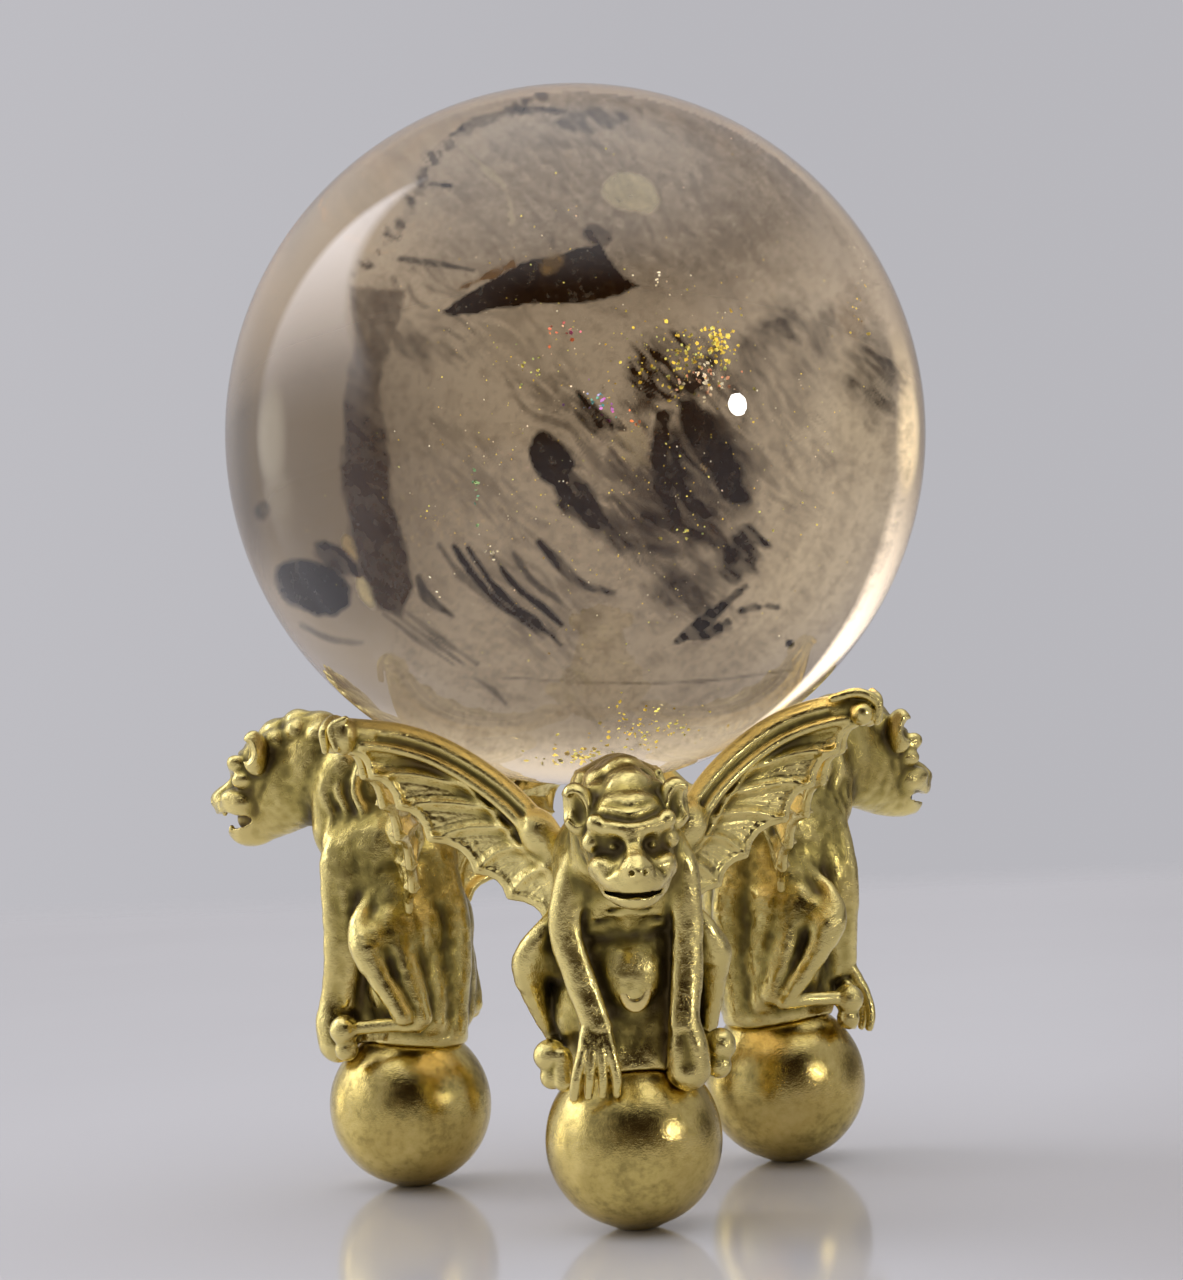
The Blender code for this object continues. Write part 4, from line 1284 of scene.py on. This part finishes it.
def add_lamp(floor):
    """A small round lamp that faces the ball. It doesn't light the table top, which would show it
    as a glare from behind."""
    data = bpy.data.lights.new("lamp", "AREA")
    data.shape = "ELLIPSE"
    data.size = data.size_y = LAMP_SIZE
    data.energy = LAMP_RADIANCE * pi * LAMP_SIZE**2 * pi / 4
    data.color = (1, 0.98, 0.95)
    lamp = bpy.data.objects.new("lamp", data)
    lamp.location = BALL_CENTRE + direction(LAMP_AROUND, LAMP_UP) * LAMP_AWAY
    lamp.rotation_euler = (lamp.location - BALL_CENTRE).to_track_quat("Z", "Y").to_euler()
    lamp.visible_camera = False
    bpy.context.scene.collection.objects.link(lamp)
    unlit = bpy.data.collections.new("unlit by the lamp")
    unlit.objects.link(floor)
    lamp.light_linking.receiver_collection = unlit
    unlit.collection_objects[0].light_linking.link_state = "EXCLUDE"


def add_room():
    """A pale room: what the camera sees is plain, and the metal and quartz see a window on the
    left, a pale ceiling, and a room that is darker behind the photographer."""
    world = bpy.data.worlds.new("room")
    world.use_nodes = True
    g = Graph(world.node_tree)
    way = g.node("TexCoord").outputs["Generated"]
    split = g.node("SeparateXYZ", {0: way})
    x, y, z = (split.outputs[i] for i in (0, 1, 2))
    around = g.math("DEGREES", g.math("ARCTAN2", x, g.math("MULTIPLY", y, -1)))
    height = g.math("DEGREES", g.math("ARCSINE", z))

    def towards(around, up, inner, outer):
        """1 within the inner angle of a direction, and 0 beyond the outer one."""
        match = g.node("VectorMath", {0: way, 1: direction(around, up)}, operation="DOT_PRODUCT")
        inputs = {
            "Value": match.outputs["Value"],
            "From Min": cos(radians(outer)),
            "From Max": cos(radians(inner)),
        }
        return g.node("MapRange", inputs, interpolation_type="SMOOTHSTEP").outputs["Result"]

    # the window's top slopes down to the front, and the view in it darkens towards its foot
    top = g.math("ADD", g.math("MULTIPLY", around, 0.7), g.math("SUBTRACT", height, -34))
    pane = g.math("MULTIPLY", g.spread(around, -132, -127), g.spread(around, -72, -80))
    pane = g.math("MULTIPLY", pane, g.spread(top, 4, -3))
    fall = g.math("POWER", g.spread(height, 6, 40), 1.4)
    pane = g.math("MULTIPLY", pane, g.spread(fall, 0, 1, 0.1, 1))

    room = (0.44, 0.43, 0.45)
    for share, colour in (
        (towards(0, 8, 14, 64), (0.15, 0.125, 0.1)),  # the photographer's side
        (towards(2, 34, 16, 36), (0.03, 0.02, 0.014)),
        (towards(106, 0, 8, 26), (0.1, 0.09, 0.09)),
        (towards(0, 90, 10, 48), (1.5, 1.5, 1.55)),  # the ceiling
        (towards(138, 6, 4, 30), (0.22, 0.205, 0.2)),
        (towards(-144, 16, 8, 28), (0.66, 0.65, 0.66)),
        (pane, (4.2, 4.2, 4.6)),
        (towards(-121, 4, 3, 11), (2.1, 2, 1.8)),  # what stands on the window's sill
    ):
        room = g.mix(share, room, colour)
    seen = g.mix(g.spread(x, -0.28, 0.12), (0.545, 0.539, 0.573), (0.48, 0.475, 0.505))
    straight = g.node("LightPath").outputs["Is Camera Ray"]
    glow = g.node("Background", {"Color": g.mix(straight, room, seen), "Strength": 1})
    g.node("OutputWorld", {"Surface": glow.outputs["Background"]})
    bpy.context.scene.world = world


def add_floor():
    """A pale polished table top, with painted shade towards the front right, that ends softly behind the
    object.
    """
    look, g, place = new_material("table top")
    cloud = g.noise(place, 9, 3, 0.5)
    split = g.node("SeparateXYZ", {0: place})
    x, y = split.outputs["X"], split.outputs["Y"]
    colour = g.mix(g.spread(cloud, 0.3, 0.7), (0.775, 0.765, 0.79), (0.81, 0.8, 0.825))
    # painted shade: the table top is darker towards the front right, as if in shadow
    painted_shade_front_right = g.math("SUBTRACT", x, g.math("MULTIPLY", y, 0.6))
    colour = g.mix(g.spread(painted_shade_front_right, 0.02, 0.09), colour, (0.625, 0.6, 0.605))
    rough = g.spread(cloud, 0.3, 0.7, 0.07, 0.11)
    surface = g.principled({"Base Color": colour, "Roughness": rough, "IOR": 1.5})
    # the camera sees its back edge nearly sharp, and everything else sees it fade away
    back = g.math("ADD", y, g.math("MULTIPLY", x, 0.28))
    straight = g.node("LightPath").outputs["Is Camera Ray"]
    seen_edge = g.math("MULTIPLY", g.spread(back, 0.27, 0.315), straight)
    soft_edge = g.math("MULTIPLY", g.spread(back, 0.06, 0.5), g.math("SUBTRACT", 1, straight))
    far = g.node("VectorMath", {0: place}, operation="LENGTH").outputs["Value"]
    fade = g.math("MAXIMUM", g.math("ADD", seen_edge, soft_edge), g.spread(far, 0.4, 1.15))
    gone = g.node("BsdfTransparent").outputs["BSDF"]
    blend = g.node("MixShader", {0: fade, 1: surface, 2: gone})
    g.node("OutputMaterial", {"Surface": blend.outputs["Shader"]})
    corners = [(-1.2, -1.2, 0), (1.2, -1.2, 0), (1.2, 0.65, 0), (-1.2, 0.65, 0)]
    floor = mesh_object("table_top", corners, [(0, 1, 2, 3)], look)
    return floor


def main():
    add_camera()
    add_room()
    add_lamp(add_floor())
    bpy.context.scene.view_settings.view_transform = "Standard"
    bpy.context.scene.view_settings.look = "None"
    cast_brass = brass(
        "antiqued brass", (0.8, 0.665, 0.26), (0.45, 0.36, 0.105), (0.085, 0.06, 0.018), 0.17, 0.45, 0.85
    )
    ball_brass = brass(
        "polished brass", (0.9, 0.73, 0.31), (0.66, 0.52, 0.17), (0.12, 0.07, 0.02), 0.1, 0.24, 0.25, 0.07
    )
    for name in GARGOYLES:
        make_gargoyle(name, cast_brass)
    make_wings(cast_brass)
    make_brazes(cast_brass)
    make_feet(ball_brass)
    make_tag(ball_brass)
    make_quartz_ball(quartz())
    make_veils(veil_stain_and_painted_glow())
    make_flakes(flakes_with_painted_glints())
    for name in GARGOYLES:
        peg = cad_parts["peg_" + name]
        peg.data.materials.clear()
        peg.data.materials.append(ball_brass)


main()
